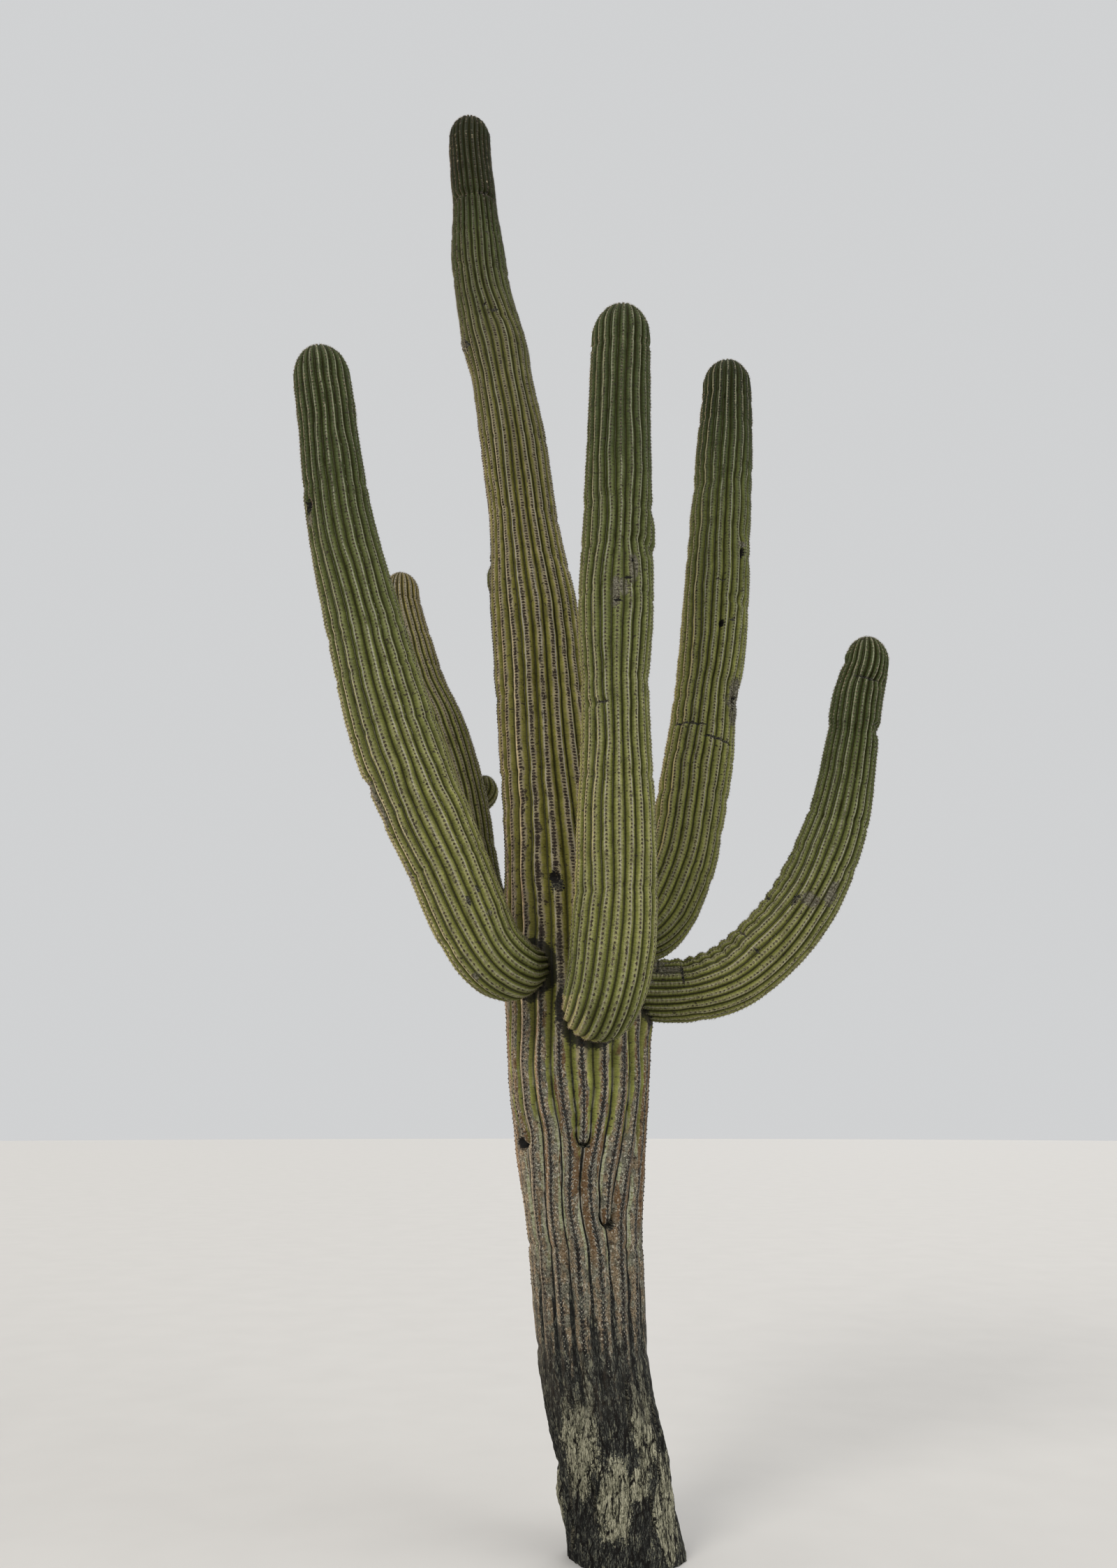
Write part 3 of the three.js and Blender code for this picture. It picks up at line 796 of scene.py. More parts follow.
class Painter:
    """Builds a material's nodes step by step; each step gives an output that later steps take in."""

    def __init__(self, name):
        self.material = bpy.data.materials.new(name)
        self.material.use_nodes = True
        self.nodes = self.material.node_tree.nodes
        self.links = self.material.node_tree.links
        self.shader = self.nodes["Principled BSDF"]
        self.shader.inputs["Specular IOR Level"].default_value = 0.12

    def node(self, kind, inputs, output=0, **settings):
        node = self.nodes.new(kind)
        for key, value in settings.items():
            setattr(node, key, value)
        for slot, value in inputs.items():
            if isinstance(value, Value):
                self.links.new(value.socket, node.inputs[slot])
            else:
                node.inputs[slot].default_value = value
        return Value(self, node.outputs[output])

    def fact(self, name):
        return self.node("ShaderNodeAttribute", {}, 2, attribute_name=name)

    def place(self):
        return self.node("ShaderNodeAttribute", {}, 1, attribute_name="place")

    def math(self, operation, *values):
        return self.node("ShaderNodeMath", dict(enumerate(values)), operation=operation)

    def scale(self, vector, factors):
        return self.node("ShaderNodeVectorMath", {0: vector, 1: factors}, operation="MULTIPLY")

    def noise(self, place, size, stretch=1.0, detail=3.0, roughness=0.5):
        """Noise from 0 to 1 with swells of that size, stretched along the limb."""
        scaled = self.scale(place, (1 / size, 1 / size, 1 / size / stretch))
        inputs = {"Vector": scaled, "Scale": 1.0, "Detail": detail, "Roughness": roughness}
        return self.node("ShaderNodeTexNoise", inputs)

    def scales(self, place, size, stretch=1.0):
        """A random value from 0 to 1 for each small scale, and the distance to the nearest gap."""
        inputs = {"Vector": self.scale(place, (1 / size, 1 / size, 1 / size / stretch)), "Scale": 1.0}
        tint = self.node("ShaderNodeTexVoronoi", inputs, 1)
        inside = self.node("ShaderNodeTexVoronoi", inputs, 0, feature="DISTANCE_TO_EDGE")
        return self.node("ShaderNodeSeparateXYZ", {0: tint}), inside

    def warp(self, place, size, reach):
        """Places pushed aside by up to that reach, in swells of that size."""
        inputs = {"Vector": self.scale(place, (1 / size,) * 3), "Scale": 1.0, "Detail": 2.0}
        push = self.node("ShaderNodeTexNoise", inputs, 1)
        push = self.node("ShaderNodeVectorMath", {0: push, 1: (0.5, 0.5, 0.5)}, operation="SUBTRACT")
        push = self.scale(push, (reach, reach, reach))
        return self.node("ShaderNodeVectorMath", {0: place, 1: push}, operation="ADD")

    def rise(self, low, high, value):
        """0 at low, 1 at high, smooth between them; low may be the larger."""
        return self.node("ShaderNodeMapRange", {0: value, 1: low, 2: high}, interpolation_type="SMOOTHSTEP")

    def mix(self, factor, low, high, blend="MIX"):
        low, high = ((*c, 1) if isinstance(c, tuple) else c for c in (low, high))
        inputs = {0: factor, 6: low, 7: high}
        return self.node("ShaderNodeMix", inputs, 2, data_type="RGBA", blend_type=blend)

    def dim(self, colour, share):
        """The colour times a share, which may also be above 1."""
        grey = self.node("ShaderNodeCombineXYZ", {0: share, 1: share, 2: share})
        return self.mix(1.0, colour, grey, "MULTIPLY")

    def length(self, vector):
        return self.node("ShaderNodeVectorMath", {0: vector}, 1, operation="LENGTH")

    def cushion_away(self, across, areole_step):
        """The distance to the nearest spine cushion, for places this far across from the crest."""
        along = self.math("PINGPONG", self.fact("beat"), 0.5) * areole_step
        return self.length(self.node("ShaderNodeCombineXYZ", {0: across, 1: along, 2: 0.0}))

    def ramp(self, value, stops):
        """The colours in stops, each at its place; a place above 1 counts as 1."""
        node = self.nodes.new("ShaderNodeValToRGB")
        self.links.new(value.socket, node.inputs[0])
        elements = node.color_ramp.elements
        while len(elements) < len(stops):
            elements.new(0.5)
        for element, (position, colour) in zip(elements, stops):
            element.position = position
            element.color = (*colour, 1)
        return Value(self, node.outputs[0])

    def finish(self, colour, roughness, *bumps):
        """Joins colour and roughness to the shader, and each bump's height, depth in metres and strength."""
        self.links.new(colour.socket, self.shader.inputs["Base Color"])
        if isinstance(roughness, float):
            self.shader.inputs["Roughness"].default_value = roughness
        else:
            self.links.new(roughness.socket, self.shader.inputs["Roughness"])
        normal = None
        for height, depth, strength in bumps:
            inputs = {"Height": height, "Distance": depth, "Strength": strength}
            if normal:
                inputs["Normal"] = normal
            normal = self.node("ShaderNodeBump", inputs)
        if normal:
            self.links.new(normal.socket, self.shader.inputs["Normal"])
        return self.material


def mark_mask(paint, place, limb, kind, wobble):
    """1 inside the limb's marks of one kind, with ragged edges."""
    away = None
    for mark in limb.marks:
        if mark.kind != kind:
            continue
        middle = limb.place_at(np.array(mark.along), np.array(mark.turn / 360))
        offset = paint.node("ShaderNodeVectorMath", {0: place, 1: tuple(middle)}, operation="SUBTRACT")
        scaled = paint.scale(offset, (2 / mark.width, 2 / mark.width, 2 / mark.length))
        distance = paint.length(scaled)
        away = distance if away is None else paint.math("MINIMUM", away, distance)
    if away is None:
        return 0.0
    return paint.rise(1.07, 0.93, away + wobble)


class Skin:
    """What both skin materials share: the places' facts, and noises from broad to fine."""

    def __init__(self, name, limb, look):
        self.paint = paint = Painter(name)
        self.limb, self.look = limb, look
        self.place = place = paint.place()
        self.height = paint.node("ShaderNodeSeparateXYZ", {0: place}, 2) - limb.seed
        self.broad = paint.noise(place, 0.16, 2.0)
        self.medium = paint.noise(place, 0.035, 2.5)
        self.patchy = paint.noise(place, 0.020, 3.5, 3.0)
        self.fine = paint.noise(place, 0.0065, 1.0, 4.0, 0.65)
        self.dashes = paint.noise(place, 0.015, 0.26, 3.0, 0.6)
        share = paint.node("ShaderNodeMapRange", {0: self.height, 2: limb.length})
        self.share = share + self.broad * 0.14 - 0.07
        self.past_crest, self.off_crest = paint.fact("past_crest"), paint.fact("off_crest")
        self.off_furrow = paint.fact("off_furrow")
        self.half_rib = self.off_crest + self.off_furrow + 1e-5
        self.across = self.off_crest / self.half_rib
        self.aside = self.past_crest / self.half_rib
        swell = 0.25 - paint.math("PINGPONG", paint.fact("beat"), 0.5)
        self.swell = swell * paint.rise(0.85, 0.25, self.across)

    def facing(self, turn):
        """1 on the side of the trunk at this turn, -1 on the far side."""
        towards = (math.cos(turn), math.sin(turn), 0.0)
        return self.paint.node("ShaderNodeVectorMath", {0: self.out, 1: towards}, 1, operation="DOT_PRODUCT")

    def green(self):
        """Green flanks with fine ripples, a pale band on each crest, and painted shade in the furrows."""
        paint, look = self.paint, self.look
        wavy = self.medium * 0.4 + self.fine * 0.6 - 0.5
        band = paint.rise(0.58, 0.34, self.across + wavy)
        colour = paint.mix(band, paint.ramp(self.share, look.flank), paint.ramp(self.share, look.band))
        mottle = (self.fine + self.patchy + self.dashes) * 1.2 + self.swell * 0.2 - 0.8
        colour = paint.dim(colour, mottle)
        # Painted shade: the flanks darken towards each furrow, and a dark line of shade runs along it.
        shade = paint.rise(0.35, 1.0, self.medium * 0.2 + self.across - 0.1)
        colour = paint.mix(shade * look.shade, colour, FURROW_SHADE)
        line = self.fine * 0.003 + self.off_furrow - 0.0015
        return paint.mix(paint.rise(0.0062, 0.0026, line) * 0.86, colour, FURROW_SHADE)

    def crest_highlight(self, colour):
        """The thin pale line along one side of each crest: a painted highlight."""
        paint = self.paint
        offset = paint.fact("highlight_side") * self.half_rib * self.look.line_offset
        beside = paint.math("ABSOLUTE", self.past_crest - offset)
        beside = (self.fine - 0.5) * 0.004 + beside
        line = paint.rise(0.0036, 0.0014, beside)
        broken = paint.rise(0.30, 0.48, self.patchy)
        line = line * broken * paint.rise(0.1, 0.35, paint.math("ABSOLUTE", paint.fact("highlight_side")))
        inputs = {0: self.share, 1: 0.15, 2: 0.6, 3: self.look.low_line, 4: self.look.high_line}
        strength = paint.node("ShaderNodeMapRange", inputs)
        return paint.mix(line * strength, colour, paint.ramp(self.share, self.look.line))

    def stains(self, colour, blotches):
        """A dark stain round each cushion, blotches that join some of them, and stray specks."""
        paint = self.paint
        spot = paint.cushion_away(self.off_crest * self.look.stain_height, self.limb.areole_step)
        uneven = paint.noise(self.place, 0.024, 1.0, 2.0)
        spread = uneven * 2.0 * self.look.stain * self.half_rib
        ragged = self.fine * 0.003 + spot - 0.0015
        stain = paint.rise(1.2, 0.85, ragged / spread) * paint.rise(0.02, 0.3, self.height)
        colour = paint.mix(stain * 0.94, colour, CUSHION_STAIN)
        heavy = mark_mask(paint, self.place, self.limb, "stain", 0.0)
        blotches = heavy * -0.055 + blotches
        joined = self.across * -0.22 + paint.noise(self.place, 0.021, 1.9, 4.0, 0.65)
        joined = paint.rise(0.0, 0.03, joined - blotches) * paint.rise(0.36, 0.52, self.fine)
        colour = paint.mix(joined * 0.92, colour, CUSHION_STAIN)
        specks = paint.rise(0.645, 0.675, paint.noise(self.place, 0.0125, 1.2, 3.0))
        return paint.mix(specks * 0.8, colour, CUSHION_STAIN)

    def marks(self, colour):
        """Cork, creases and holes laid over the skin."""
        paint, place, fine = self.paint, self.place, self.fine
        wobble = self.medium * 1.2 + fine * 1.8 - 1.5
        cork = mark_mask(paint, place, self.limb, "cork", wobble)
        cork = cork * paint.rise(1.0, 0.7, self.across + wobble * 0.3)
        colour = paint.mix(cork, colour, paint.ramp(fine, CORK_TONES))
        # The creases' black is painted shade, mixed with cork.
        crease = mark_mask(paint, place, self.limb, "crease", wobble)
        colour = paint.mix(crease, colour, paint.ramp(fine, [(0.45, SOOT), (0.65, CORK)]))
        # The holes' black is painted shade.
        hole = mark_mask(paint, place, self.limb, "hole", wobble)
        return paint.mix(hole, colour, HOLE_BLACK)

    def shade_and_dirt_ring(self, colour, reach):
        """Black in a ragged ring where limbs meet: dirt, and painted shade at the joint."""
        paint = self.paint
        ragged = self.medium * -0.07 + self.fine * -0.04 + 0.055
        # Painted shade and dirt near the joint, mixed towards black.
        dirt_and_shade = paint.rise(reach, reach * 0.65, paint.fact("gap") - ragged)
        return paint.mix(dirt_and_shade * 0.88, colour, SOOT)


def arm_material(name, limb, look):
    skin = Skin(name, limb, look)
    paint = skin.paint
    colour = skin.crest_highlight(skin.stains(skin.green(), 0.60))
    colour = skin.marks(skin.shade_and_dirt_ring(colour, 0.022))
    wrinkles = paint.noise(skin.place, 0.020, 0.22, 3.0)
    roughness = skin.fine * 0.3 + 0.45
    bumps = ((wrinkles, 0.0045, 0.7), (skin.swell, 0.007, 0.7), (skin.dashes, 0.004, 0.7),
             (skin.fine, 0.0016, 0.6))
    return paint.finish(colour, roughness, *bumps)


def trunk_material(name, limb, look):
    """Skin above, weathered ribs below the arms, and cracked bark near the ground."""
    skin = Skin(name, limb, look)
    paint = skin.paint
    out = paint.node("ShaderNodeVectorMath", {0: skin.place, 1: (limb.seed,) * 3}, operation="SUBTRACT")
    skin.out = paint.scale(out, (1 / limb.girth, 1 / limb.girth, 0.0))
    skin.level = skin.height + skin.medium * 0.5 - 0.25
    skin.left = paint.rise(0.35, 0.85, skin.facing(math.pi))
    skin.streaks = paint.noise(skin.place, 0.014, 7.0, 4.0, 0.65)
    dark, light = bark_tones(skin)
    blotches = paint.rise(3.9, 5.0, skin.level) * 0.13 + 0.525
    blotches = paint.rise(1.9, 1.7, skin.level) * 0.1 + blotches
    colour = paint.mix(worn_share(skin), skin.green(), worn_colour(skin))
    colour = skin.crest_highlight(skin.stains(colour, blotches))
    grimy = paint.rise(1.0, 0.6, skin.level) * 0.36 + skin.streaks
    colour = paint.mix(paint.rise(0.66, 0.74, grimy) * 0.9, colour, dark)
    bark = paint.mix(bare_mask(skin), dark, light)
    colour = paint.mix(paint.fact("bark"), colour, bark)
    colour = furrow_soot(skin, cushion_chain(skin, colour, dark), dark)
    colour = skin.marks(skin.shade_and_dirt_ring(pale_beads(skin, colour), 0.033))
    wrinkles = paint.noise(skin.place, 0.020, 0.25, 3.0)
    roughness = paint.fact("bark") * 0.3 + skin.fine * 0.3 + 0.45
    shreds = paint.noise(skin.place, 0.0055, 5.0, 3.0, 0.6)
    shreds = shreds * (paint.rise(1.6, 0.8, skin.height) * 0.9 + 0.1)
    flakes = paint.rise(0.0, 0.22, skin.flake_gap) * paint.fact("bark")
    bumps = ((skin.streaks, 0.004, 0.5), (wrinkles, 0.0045, 0.7), (shreds, 0.010, 0.9), (flakes, 0.003, 0.8),
             (skin.fine, 0.003, 0.8))
    return paint.finish(colour, roughness, *bumps)


def worn_share(skin):
    """1 where the ribs are weathered: below the arms, higher on the left and lower under the front arm."""
    paint = skin.paint
    sheltered = paint.rise(0.78, 0.95, skin.facing(SHELTER_TURN))
    level = sheltered * SHELTER_DROP + skin.left * -0.3 + skin.level
    clear = paint.rise(0.02, 0.09, paint.fact("gap"))
    reached = paint.rise(2.12, 2.0, level) * clear
    uneven = skin.patchy * 1.6 + skin.across * -0.5 - 0.6 + paint.rise(2.0, 1.6, level)
    worn = reached * paint.rise(-0.2, 0.15, uneven)
    kept = skin.patchy * 0.5 + skin.across - 0.25
    kept = paint.rise(0.56, 0.66, kept) * paint.rise(1.45, 1.7, skin.level)
    worn = worn * (1.0 - kept)
    crest = skin.patchy * 1.5 + skin.across - 0.75
    crest = paint.rise(0.45, 0.3, crest) * clear
    high = skin.left * -0.7 + skin.level
    return paint.math("MAXIMUM", worn, crest * paint.rise(2.15, 1.95, high))


def cushion_chain(skin, colour, dark):
    """Black wedges stacked along each weathered crest, in pale scalloped edges."""
    paint = skin.paint
    step = paint.math("FRACT", skin.off_crest * -18.0 + paint.fact("beat"))
    uneven = paint.noise(skin.place, 0.06, 3.0, 2.0) * 2.2 + 0.1
    limit = (step * 0.0056 + 0.002) * uneven
    away = (skin.fine * 0.0036 + skin.off_crest - 0.0018) / limit
    high = skin.left * -0.6 + skin.level
    shown = paint.rise(2.35, 1.8, high) * paint.rise(0.52, 0.74, skin.level)
    edge = paint.rise(1.9, 1.35, away) * paint.rise(0.4, 0.62, skin.fine)
    edge = edge * (shown * paint.rise(0.7, 1.2, skin.level))
    colour = paint.mix(edge * 0.65, colour, GRIT_PALE)
    black = paint.ramp(skin.fine, [(0.40, SOOT), (0.56, CHARCOAL), (0.74, BARK_GREY)])
    black = paint.mix(paint.rise(1.0, 1.3, skin.level), dark, black)
    return paint.mix(paint.rise(1.12, 0.92, away) * shown, colour, black)


def furrow_soot(skin, colour, dark):
    """Dark furrow lines between pale edges; they widen towards the bark and end in it."""
    paint = skin.paint
    wide = paint.rise(1.12, 0.7, skin.level) * 0.011 + 0.0042
    away = (skin.streaks * 0.014 + skin.off_furrow - 0.007) / wide
    shown = paint.rise(1.95, 1.45, skin.level) * paint.rise(0.46, 0.66, skin.level)
    edge = paint.rise(2.1, 1.5, away) * paint.rise(0.46, 0.58, skin.patchy)
    edge = edge * (shown * paint.rise(0.9, 1.3, skin.level))
    colour = paint.mix(edge * 0.5, colour, GRIT_PALE)
    colour = paint.mix(paint.rise(1.15, 0.75, away) * shown, colour, dark)
    thin = skin.patchy * 0.008 + skin.off_furrow - 0.0034
    line = paint.rise(0.0042, 0.0026, thin) * shown
    return paint.mix(line * 0.9, colour, SOOT)


def pale_beads(skin, colour):
    """A pale dot where each cushion was, down to the bark."""
    paint = skin.paint
    bead = paint.rise(0.0026, 0.0017, paint.cushion_away(skin.off_crest, skin.limb.areole_step))
    shown = paint.rise(1.25, 1.05, skin.level) * paint.rise(0.6, 0.74, skin.level)
    shown = shown * paint.rise(0.42, 0.52, skin.patchy)
    return paint.mix(bead * (shown * 0.85), colour, GRIT_PALE)


def worn_colour(skin):
    """Weathered ribs: scaly grit along the crests, rust beside them and mealy green near the furrows."""
    paint = skin.paint
    place = paint.warp(skin.place, 0.008, 0.004)
    scale_tint, _ = paint.scales(place, 0.0038, 1.5)
    grit = scale_tint * 0.22 + paint.noise(skin.place, 0.0036, 1.4, 4.0, 0.75)
    pink = paint.rise(0.44, 0.56, paint.noise(skin.place, 0.016, 2.5, 3.0))
    value = paint.node("ShaderNodeMapRange", {0: grit, 1: 0.46, 2: 0.78, 3: 0.30, 4: 1.65})
    colour = paint.dim(paint.mix(pink, GRIT_GREY, GRIT_PINK), value)
    wobble = skin.medium * 0.9 + skin.fine * 0.7 - 0.8
    side = paint.rise(0.49, 0.51, paint.noise(skin.place, 0.09, 7.0, 1.0))
    side = skin.aside * (side * -2.0 + 1.0) + wobble
    rusty = paint.rise(0.1, 0.18, side) * paint.rise(0.92, 0.82, side)
    present = paint.rise(0.39, 0.45, paint.noise(skin.place, 0.045, 4.0, 3.0))
    present = present * paint.rise(1.05, 1.25, skin.level)
    rust = scale_tint * 0.18 + skin.fine - 0.09
    rust = paint.ramp(rust, [(0.36, RUST_DARK), (0.52, RUST), (0.68, GRIT_PINK)])
    colour = paint.mix(rusty * present * 0.92, colour, rust)
    mealy = paint.rise(0.64, 0.72, wobble * 0.5 + skin.across) * paint.rise(0.05, -0.1, side)
    present = paint.rise(0.40, 0.46, paint.noise(skin.place, 0.050, 5.0, 3.0))
    present = present * paint.rise(1.0, 1.2, skin.level)
    green = paint.ramp(skin.fine, [(0.36, GREY_OLIVE), (0.52, MEALY_GREEN), (0.72, GRIT_PALE)])
    colour = paint.mix(mealy * present, colour, green)
    flecks = paint.rise(0.88, 0.92, skin.patchy * 0.3 + scale_tint - 0.15)
    return paint.mix(flecks * 0.6, colour, GRIT_PALE)


def bark_tones(skin):
    """Dark and light bark in upright flakes of two sizes, split by black cracks."""
    paint = skin.paint
    place = paint.warp(skin.place, 0.030, 0.010)
    shreds = paint.noise(place, 0.0048, 5.0, 5.0, 0.78)
    large, skin.flake_gap = paint.scales(paint.warp(place, 0.010, 0.007), 0.0078, 5.0)
    small, _ = paint.scales(paint.warp(place, 0.006, 0.003), 0.0036, 3.0)
    edge = skin.fine * 0.16 + skin.flake_gap - 0.08
    grain = large * 0.13 + small * 0.15 + shreds + paint.fact("grain") * 0.06
    grain = grain + paint.noise(place, 0.022, 3.0, 3.0) * 0.4 - paint.rise(0.13, 0.04, edge) * 0.16
    dark = paint.ramp(grain, [(0.68, SOOT), (0.82, CHARCOAL), (0.92, BARK_GREY), (1.04, BARK_BEIGE)])
    light = paint.ramp(grain, [(0.58, SOOT), (0.65, BARK_TAN), (0.75, BARK_BEIGE), (0.90, BARK_PALE)])
    _, gap = paint.scales(paint.warp(skin.place, 0.050, 0.016), 0.024, 5.0)
    gap = skin.fine * 0.1 + gap - 0.05
    crack = paint.rise(0.09, 0.035, gap) * paint.rise(0.45, 0.53, skin.streaks)
    return paint.mix(crack, dark, HOLE_BLACK), paint.mix(crack, light, HOLE_BLACK)


def bare_mask(skin):
    """1 where the dark outer bark has worn off."""
    paint = skin.paint
    wobble = skin.medium * 1.6 + skin.fine * 1.2 - 1.4
    bare = mark_mask(paint, skin.place, skin.limb, "bare", wobble)
    elsewhere = paint.rise(0.50, 0.56, paint.noise(skin.place, 0.10, 2.6, 4.0))
    side = paint.node("ShaderNodeSeparateXYZ", {0: skin.place}, 1) - skin.limb.seed
    return paint.math("MAXIMUM", bare, elsewhere * paint.rise(-0.02, 0.1, side))


def plain_material(name, low, high, size, roughness):
    """A small thing's colour, with a faint mottle from its own place."""
    paint = Painter(name)
    where = paint.node("ShaderNodeTexCoord", {}, 3)
    colour = paint.ramp(paint.noise(where, size), [(0.35, low), (0.65, high)])
    return paint.finish(colour, roughness)


def areoles(limb, low, size):
    """The cushions' places, outward and crest directions, distances along, sizes and nearness to the tip."""
    body_end = limb.length - limb.dome
    random = np.random.default_rng(int(limb.seed * 7) + 5)
    places = []
    for rib in range(limb.ribs):
        beats = np.arange(math.ceil(limb.beat_at(low)), int(limb.beat_at(body_end)))
        along = limb.cushions_at(beats - rib * RIB_STAGGER % 1)
        turns = np.arange(0.2, 1.42, limb.areole_step / limb.tip_radius * 0.9)
        along = np.append(along, body_end + limb.dome * np.sin(turns))
        along = along[(along > low) & (along < limb.length)]
        along = along + random.normal(0, AREOLE_JITTER, len(along))
        opened = limb.opened[np.clip((along / TABLE_STEP).astype(int), 0, len(limb.steps) - 1), rib]
        along = along[opened > 0.45]
        places.append(np.stack([along, limb.rib_rows(along)[1][:, rib]], axis=1))
    along, turns = np.vstack(places).T
    here = limb.surface(along, turns)[0]
    tangent = unit(limb.surface(along + 0.004, turns)[0] - here)
    frames = limb.frame_at(along)
    outward = across(turns, frames[:, 4:7], frames[:, 7:10])
    outward = unit(outward - tangent * (outward * tangent).sum(axis=1, keepdims=True))
    sizes = size * random.uniform(0.55, 1.25, len(along))
    return here, outward, tangent, along, sizes, rise(0.70, 0.20, limb.length - along)


def cushion_piece(name, cushions):
    """Spine cushions as low six-sided mounds."""
    here, outward, tangent, _, sizes, _ = cushions
    side = np.cross(outward, tangent)
    size = sizes[:, None, None]
    angle = np.arange(6) * math.pi / 3
    rim = (np.cos(angle)[:, None] * side[:, None] * AREOLE_WIDTH / 2
           + np.sin(angle)[:, None] * tangent[:, None] * AREOLE_LENGTH / 2) * size
    rim = rim + here[:, None] - outward[:, None] * AREOLE_SINK
    top = here[:, None] + outward[:, None] * AREOLE_HEIGHT * size
    points = np.concatenate([rim, top], axis=1).reshape(-1, 3)
    base = np.arange(len(here))[:, None, None] * 7
    faces = np.stack([np.arange(6), (np.arange(6) + 1) % 6, np.full(6, 6)], axis=1) + base
    return mesh_piece(name, points, faces.reshape(-1, 3))


def spine_shapes(cushions, number, longest, random):
    """Roots and tips of the spines that spread from each cushion, the lower ones longer."""
    here, outward, tangent, along = cushions[:4]
    side = np.cross(outward, tangent)
    spread = np.arange(number) * 2 * math.pi / number + random.uniform(0, 6.28, (len(here), 1))
    spread = spread + random.normal(0, 0.25, (len(here), number))
    rise_up = random.uniform(0.15, 1.1, (len(here), number))
    sideways = np.cos(spread)[..., None] * side[:, None] + np.sin(spread)[..., None] * tangent[:, None]
    direction = unit(sideways + rise_up[..., None] * outward[:, None])
    length = random.uniform(0.45, 1.0, (len(here), number)) * (1 - 0.3 * np.sin(spread)) * longest
    roots = here[:, None] + outward[:, None] * SPINE_LIFT + sideways * SPINE_SPREAD
    return roots.reshape(-1, 3), (roots + direction * length[..., None]).reshape(-1, 3)


def spine_piece(name, roots, tips):
    """Spines as three-sided needles."""
    direction = unit(tips - roots)
    helper = np.where(np.abs(direction[:, 2:]) < 0.8, [[0.0, 0.0, 1.0]], [[1.0, 0.0, 0.0]])
    first = unit(np.cross(direction, helper))
    second = np.cross(direction, first)
    angle = np.arange(3)[:, None] * 2 * math.pi / 3
    rim = (np.cos(angle) * first[:, None] + np.sin(angle) * second[:, None]) * SPINE_WIDTH / 2
    points = np.concatenate([rim + roots[:, None], tips[:, None]], axis=1).reshape(-1, 3)
    faces = np.array([[0, 1, 3], [1, 2, 3], [2, 0, 3]]) + np.arange(len(roots))[:, None, None] * 4
    return mesh_piece(name, points, faces.reshape(-1, 3))


def build_stage():
    """A wide pale floor, a pale sky and soft lights all round."""
    angle = np.arange(FLOOR_CORNERS) * 2 * math.pi / FLOOR_CORNERS
    x, y = FLOOR_REACH * np.cos(angle), FLOOR_REACH * np.sin(angle)
    rim = np.stack([x, y, 0 * angle - FLOOR_DROP], axis=1)
    floor = mesh_piece("floor", rim, np.arange(FLOOR_CORNERS)[None])
    paint = Painter("floor_plaster")
    where = paint.node("ShaderNodeTexCoord", {}, 3)
    darker = tuple(channel * 0.97 for channel in FLOOR_TONE)
    tone = paint.ramp(paint.noise(where, 0.4), [(0.3, FLOOR_TONE), (0.7, darker)])
    floor.data.materials.append(paint.finish(tone, 0.9))
    world = bpy.data.worlds.new("pale_sky")
    world.use_nodes = True
    background = world.node_tree.nodes["Background"]
    background.inputs["Color"].default_value = (*SKY_TONE, 1)
    background.inputs["Strength"].default_value = SKY_STRENGTH
    bpy.context.scene.world = world
    bpy.context.scene.view_settings.view_transform = "Standard"
    for name, towards, strength, softness, colour in LIGHTS:
        light = bpy.data.lights.new(name, "SUN")
        light.energy, light.angle, light.color = strength, math.radians(softness), colour
        lamp = bpy.data.objects.new(name, light)
        lamp.rotation_euler = Vector(towards).to_track_quat("Z", "Y").to_euler()
        bpy.context.scene.collection.objects.link(lamp)
    warm = bpy.data.lights.new("warm_side", "SPOT")
    away = Vector(WARM_PLACE) - Vector(WARM_AIM)
    warm.energy = WARM_STRENGTH * 4 * math.pi * away.length_squared
    warm.color, warm.spot_size, warm.spot_blend = WARM_TONE, math.radians(WARM_BEAM), WARM_BLEND
    warm.shadow_soft_size = WARM_SIZE
    lamp = bpy.data.objects.new("warm_side", warm)
    lamp.location = WARM_PLACE
    lamp.rotation_euler = away.to_track_quat("Z", "Y").to_euler()
    bpy.context.scene.collection.objects.link(lamp)


def build_camera():
    camera = bpy.data.cameras.new("camera")
    camera.lens, camera.sensor_width = CAMERA_LENS, CAMERA_SENSOR
    eye = bpy.data.objects.new("camera", camera)
    eye.location = CAMERA_PLACE
    eye.rotation_euler = (math.pi / 2 + CAMERA_TILT, 0, 0)
    bpy.context.scene.collection.objects.link(eye)
    bpy.context.scene.camera = eye


trunk = Trunk(*TRUNK_SHAPE, TRUNK_FIRST_TURN, NEW_RIBS)
arms = {name: Limb(*shape) for name, shape in ARMS.items()}
arms["far_arm"].fold = FAR_ARM_FOLD
buds = {name: Limb(*shape) for name, shape in BUDS.items()}
trunk.neighbours = list(arms.values())
for arm in arms.values():
    arm.neighbours = [trunk]

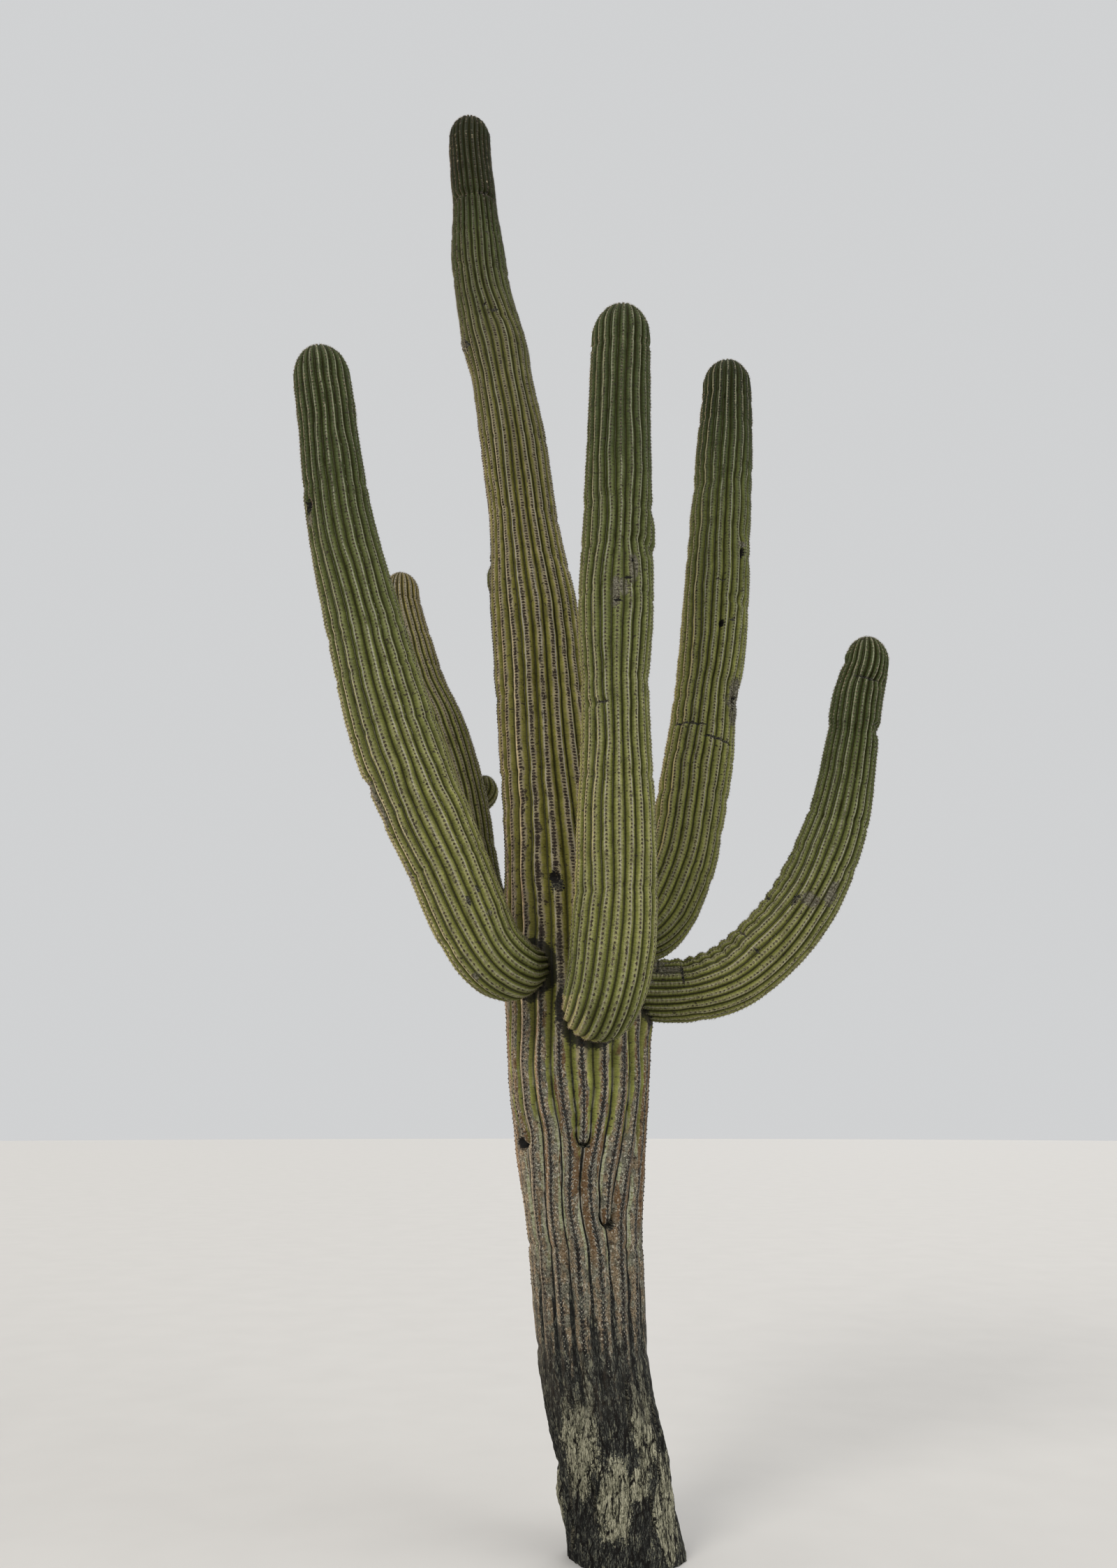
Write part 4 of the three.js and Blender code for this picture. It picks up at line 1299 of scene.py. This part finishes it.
upper, lower = trunk_pieces(trunk)
trunk_look = trunk_material("trunk_look", trunk, TRUNK_LOOK)
for piece in (upper, lower):
    piece.data.materials.append(trunk_look)
    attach(piece, "root")
    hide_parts("trunk")
for name, arm in arms.items():
    piece = arm_piece(name + "_skin", arm, ARM_STEP)
    look = {"rear_arm": REAR_WARM_LIT_LOOK, "right_arm": RIGHT_BRIGHTENED_LOOK}.get(name, ARM_LOOK)
    piece.data.materials.append(arm_material(name + "_look", arm, look))
    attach(piece, "root")
    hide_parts(*[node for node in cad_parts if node.startswith(name) and "bud" not in node])
for name, bud in buds.items():
    piece = arm_piece(name + "_skin", bud, BUD_STEP)
    piece.data.materials.append(arm_material(name + "_look", bud, BUD_LOOK))
    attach(piece, "root")
    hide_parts(name)

random = np.random.default_rng(SMALL_THINGS_SEED)
arm_cushions = [areoles(limb, *ARM_CUSHIONS) for limb in [*arms.values(), *buds.values()]]
trunk_cushions = areoles(trunk, *TRUNK_CUSHIONS)
cushions = [np.concatenate(parts) for parts in zip(*arm_cushions, trunk_cushions)]
lowest = len(cushions[0]) - len(trunk_cushions[0])
share, reach = PALE_CUSHIONS
young = YOUNG_CUSHIONS * cushions[5]
young[lowest:] = YOUNG_ON_TRUNK * cushions[5][lowest:]
wanted = np.maximum(share * (1 - cushions[3] / reach), young)
pale = random.uniform(0, 1, len(cushions[0])) < wanted
felts = {"dark_cushions": (~pale, *DARK_FELT), "pale_cushions": (pale, *PALE_FELT)}
for name, (chosen, low, high) in felts.items():
    piece = cushion_piece(name, [values[chosen] for values in cushions])
    piece.data.materials.append(plain_material(name + "_felt", low, high, 0.05, 0.9))
    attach(piece, "root")
share = rise(LOWEST_SPINES, TRUNK_SPINES_FULL, cushions[3]) * (1 - LEAST_SPINES) + LEAST_SPINES
bare = (cushions[3] < LOWEST_SPINES) | (random.uniform(0, 1, len(share)) > share)
bare &= np.arange(len(share)) >= lowest
spiny = [values[~bare] for values in cushions]
roots, tips = spine_shapes(spiny, SPINES_EACH, LONGEST_SPINE, random)
group = random.integers(0, len(SPINE_TONES), len(roots))
for k, (name, low, high) in enumerate(SPINE_TONES):
    piece = spine_piece(name, roots[group == k], tips[group == k])
    piece.data.materials.append(plain_material(name + "_horn", low, high, 0.03, 0.5))
    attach(piece, "root")

build_stage()
build_camera()
